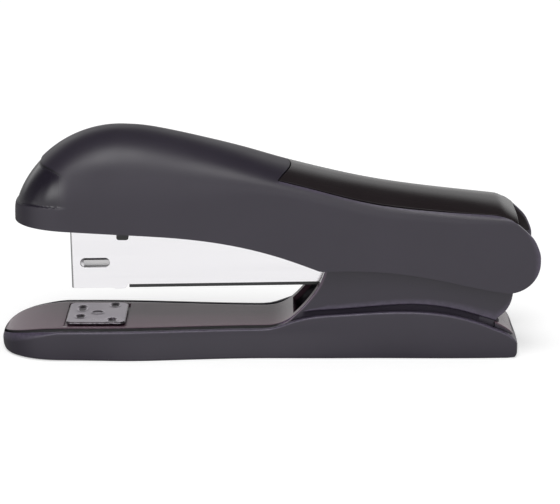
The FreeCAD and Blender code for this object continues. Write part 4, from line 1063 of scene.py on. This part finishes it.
# Its deck colour is a painted reflection, lighter and warmer, on the deck, the throat and the tail slope.
cover_plastic = moulded_plastic("cover_plastic", *SHADE, 0.44, 0.03, 0.00002, deck=(0.098, 0.052, 0.074))
grip_plastic = moulded_plastic("grip_plastic", (0.014, 0.0108, 0.0118), (0.0172, 0.0135, 0.0146), 0.23, 0.02,
                               0.000006, Specular_IOR_Level=0.17)
bright_steel = sheet_steel("bright_steel", (0.80, 0.79, 0.81), (0.84, 0.83, 0.85), 0.12, 0.18)
dark_steel = sheet_steel("dark_steel", (0.010, 0.010, 0.011), (0.016, 0.016, 0.017), 0.38, 0.46, 2200.0,
                         0.00001, 1.5, metallic=0.0)
zinc_steel = sheet_steel("zinc_steel", (0.46, 0.46, 0.47), (0.56, 0.55, 0.55), 0.26, 0.36, 5000.0,
                         0.000006, 4.0)
spring_steel = sheet_steel("spring_steel", (0.30, 0.30, 0.32), (0.38, 0.38, 0.40), 0.24, 0.32, 7000.0,
                           0.000005, 20.0)
anvil_steel = sheet_steel("anvil_steel", (0.66, 0.61, 0.67), (0.75, 0.70, 0.77), 0.26, 0.36, 5200.0,
                          0.000008, 6.0)
foot_rubber = moulded_plastic("foot_rubber", (0.012, 0.012, 0.012), (0.018, 0.018, 0.018), 0.8, 0.05, 0.00003)
washer_nylon = moulded_plastic("washer_nylon", (0.50, 0.49, 0.46), (0.56, 0.55, 0.52), 0.5, 0.04, 0.00001)


# ------------------------------------------------------------------ the pieces
head_shell(head_plastic)
head_web(body_plastic)
top_grip(grip_plastic)
grip_flanges(grip_plastic)
base_wall(body_plastic)
base_floor(body_plastic)
deck_sheet(cover_plastic)
base_cheeks(cover_plastic)
tail_sheet(cover_plastic)
coil_spring(spring_steel)
pressed("magazine_rail", "rail_sheet", bright_steel, "magazine", 0.12)
pressed("rail_carrier", "carrier_strip", dark_steel, "magazine", 0.1)
pressed("staple_core", "core_channel", zinc_steel, "magazine", 0.1)
pressed("head_frame", "frame_channel", dark_steel, "head", 0.12)
pressed("base_bracket", "bracket_sheet", dark_steel, "base", 0.12)
pressed("driver_blade", "driver_plate", zinc_steel, "head", 0.1)
anvil_sheet(anvil_steel)

node_finishes = {
    zinc_steel: ["frame_screws", "driver_rivets", "guide_rod", "hinge_sleeve", "hinge_pin", "base_screws",
                 "anvil_post"],
    spring_steel: ["bow_spring", "lift_spring", "anvil_spring"],
    body_plastic: ["staple_follower"],
    foot_rubber: ["rubber_feet"],
    washer_nylon: ["hinge_washers"],
}
for material, nodes in node_finishes.items():
    for node in nodes:
        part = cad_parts[node]
        slots = part.material_slots
        if slots:
            slots[0].material = material
        else:
            part.data.materials.append(material)


# ------------------------------------------------------------------ studio and camera
def aim(obj, place, target):
    """Put an object at a place and point it at a target."""
    away = np.array(place, float) - np.array(target, float)
    obj.location = place
    obj.rotation_mode = "QUATERNION"
    obj.rotation_quaternion = Vector(away).to_track_quat("Z", "Y")


def studio_camera():
    """Long lens, 15 degrees above the horizon, square on to the stapler's side."""
    lens = bpy.data.cameras.new("camera")
    lens.lens = 161.7
    lens.sensor_width = 36.0
    lens.clip_start = 0.01
    lens.clip_end = 50.0
    camera = new_object("camera", lens)
    target = np.array([3.15, 0, 26.616]) * MM
    rise, distance = math.radians(15.0), 0.7
    aim(camera, target + distance * np.array([0, -math.cos(rise), math.sin(rise)]), target)
    bpy.context.scene.camera = camera


def studio_light():
    """Three broad soft suns from the front, and a room.

    The camera sees the room white, and its diffuse light is the same from all sides. What glossy surfaces
    reflect of it isn't: it is bright low down and dark overhead, dimmer to the sides behind the stapler, and
    brighter than white in one patch to the left in front.
    """
    diffuse_level, patch_level, side_loss = 0.42, 2.4, 0.82
    for name, elevation, azimuth, angle, strength in (("high_light", 62, -8, 32, 1.5),
                                                      ("front_light", 18, 32, 60, 0.88),
                                                      ("side_light", 14, -33, 42, 0.28)):
        lamp = bpy.data.lights.new(name, "SUN")
        lamp.energy = strength
        lamp.angle = math.radians(angle)
        light = new_object(name, lamp)
        e, a = math.radians(elevation), math.radians(azimuth)
        aim(light, (math.sin(a) * math.cos(e), -math.cos(a) * math.cos(e), math.sin(e)), (0, 0, 0))
    world = bpy.data.worlds.new("room")
    bpy.context.scene.world = world
    world.use_nodes = True
    world.node_tree.nodes.clear()
    board = Board(world.node_tree)
    axes = board.axes(board.add("ShaderNodeTexCoord").outputs["Generated"])
    reflected = board.between(axes["Z"], 0.10, 0.50, 0.85, 0.07)
    aside = board.between(board.math("ABSOLUTE", axes["X"]), 0.45, 0.75)
    behind = board.between(axes["Y"], -0.35, 0.0)
    kept = board.math("MULTIPLY_ADD", board.times(aside, behind), -side_loss, 1.0)
    patch = board.times(board.between(axes["X"], -0.86, -0.66),
                        board.between(axes["X"], -0.48, -0.24, 1.0, 0.0),
                        board.between(axes["Y"], -0.4, -0.7),
                        board.between(axes["Z"], 0.0, 0.2))
    reflected = board.math("MULTIPLY_ADD", patch, patch_level, board.times(reflected, kept))
    path = board.add("ShaderNodeLightPath").outputs
    seen = board.math("MAXIMUM", path["Is Glossy Ray"], path["Is Transmission Ray"])
    level = board.math("MULTIPLY_ADD", seen, board.math("SUBTRACT", reflected, diffuse_level), diffuse_level)
    level = board.math("MAXIMUM", level, path["Is Camera Ray"])
    back = board.add("ShaderNodeBackground", None, {"Color": (1, 1, 1, 1), "Strength": level})
    out = board.add("ShaderNodeOutputWorld")
    board.join(back.outputs[0], out.inputs[0])


def studio_floor():
    """A wide pale floor that keeps the stapler's soft shadow.

    Glossy surfaces reflect it dimmed from just in front of the stapler to all behind it, and less so past
    the stapler's rear.
    """
    size, floor_z = 4.0, -0.00002
    corners = [(-size, -size, floor_z), (size, -size, floor_z), (size, size, floor_z), (-size, size, floor_z)]
    mesh = bpy.data.meshes.new("floor")
    mesh.from_pydata(corners, [], [(0, 1, 2, 3)])
    floor = new_object("floor", mesh)
    material = bpy.data.materials.new("floor_paint")
    material.use_nodes = True
    material.node_tree.nodes.clear()
    board = Board(material.node_tree)
    path = board.add("ShaderNodeLightPath").outputs
    seen = board.math("MAXIMUM", board.math("MAXIMUM", path["Is Camera Ray"], path["Is Glossy Ray"]),
                      path["Is Transmission Ray"])
    axes = board.axes(board.place())
    dim = board.times(path["Is Glossy Ray"], board.between(axes["Y"], -0.035, -0.015, 0.0, 0.75),
                      board.between(axes["X"], 0.055, 0.085, 1.0, 0.45))
    paint = board.blend(dim, (0.6, 0.6, 0.6, 1), (0, 0, 0, 1))
    matte = board.add("ShaderNodeBsdfDiffuse", None, {"Color": paint})
    strength = board.times(seen, 0.5, board.math("SUBTRACT", 1.0, dim))
    glow = board.add("ShaderNodeEmission", None, {"Color": (1, 1, 1, 1), "Strength": strength})
    both = board.add("ShaderNodeAddShader", None, {0: matte.outputs[0], 1: glow.outputs[0]})
    out = board.add("ShaderNodeOutputMaterial")
    board.join(both.outputs[0], out.inputs[0])
    mesh.materials.append(material)


studio_camera()
studio_light()
studio_floor()
bpy.context.scene.view_settings.view_transform = "Standard"
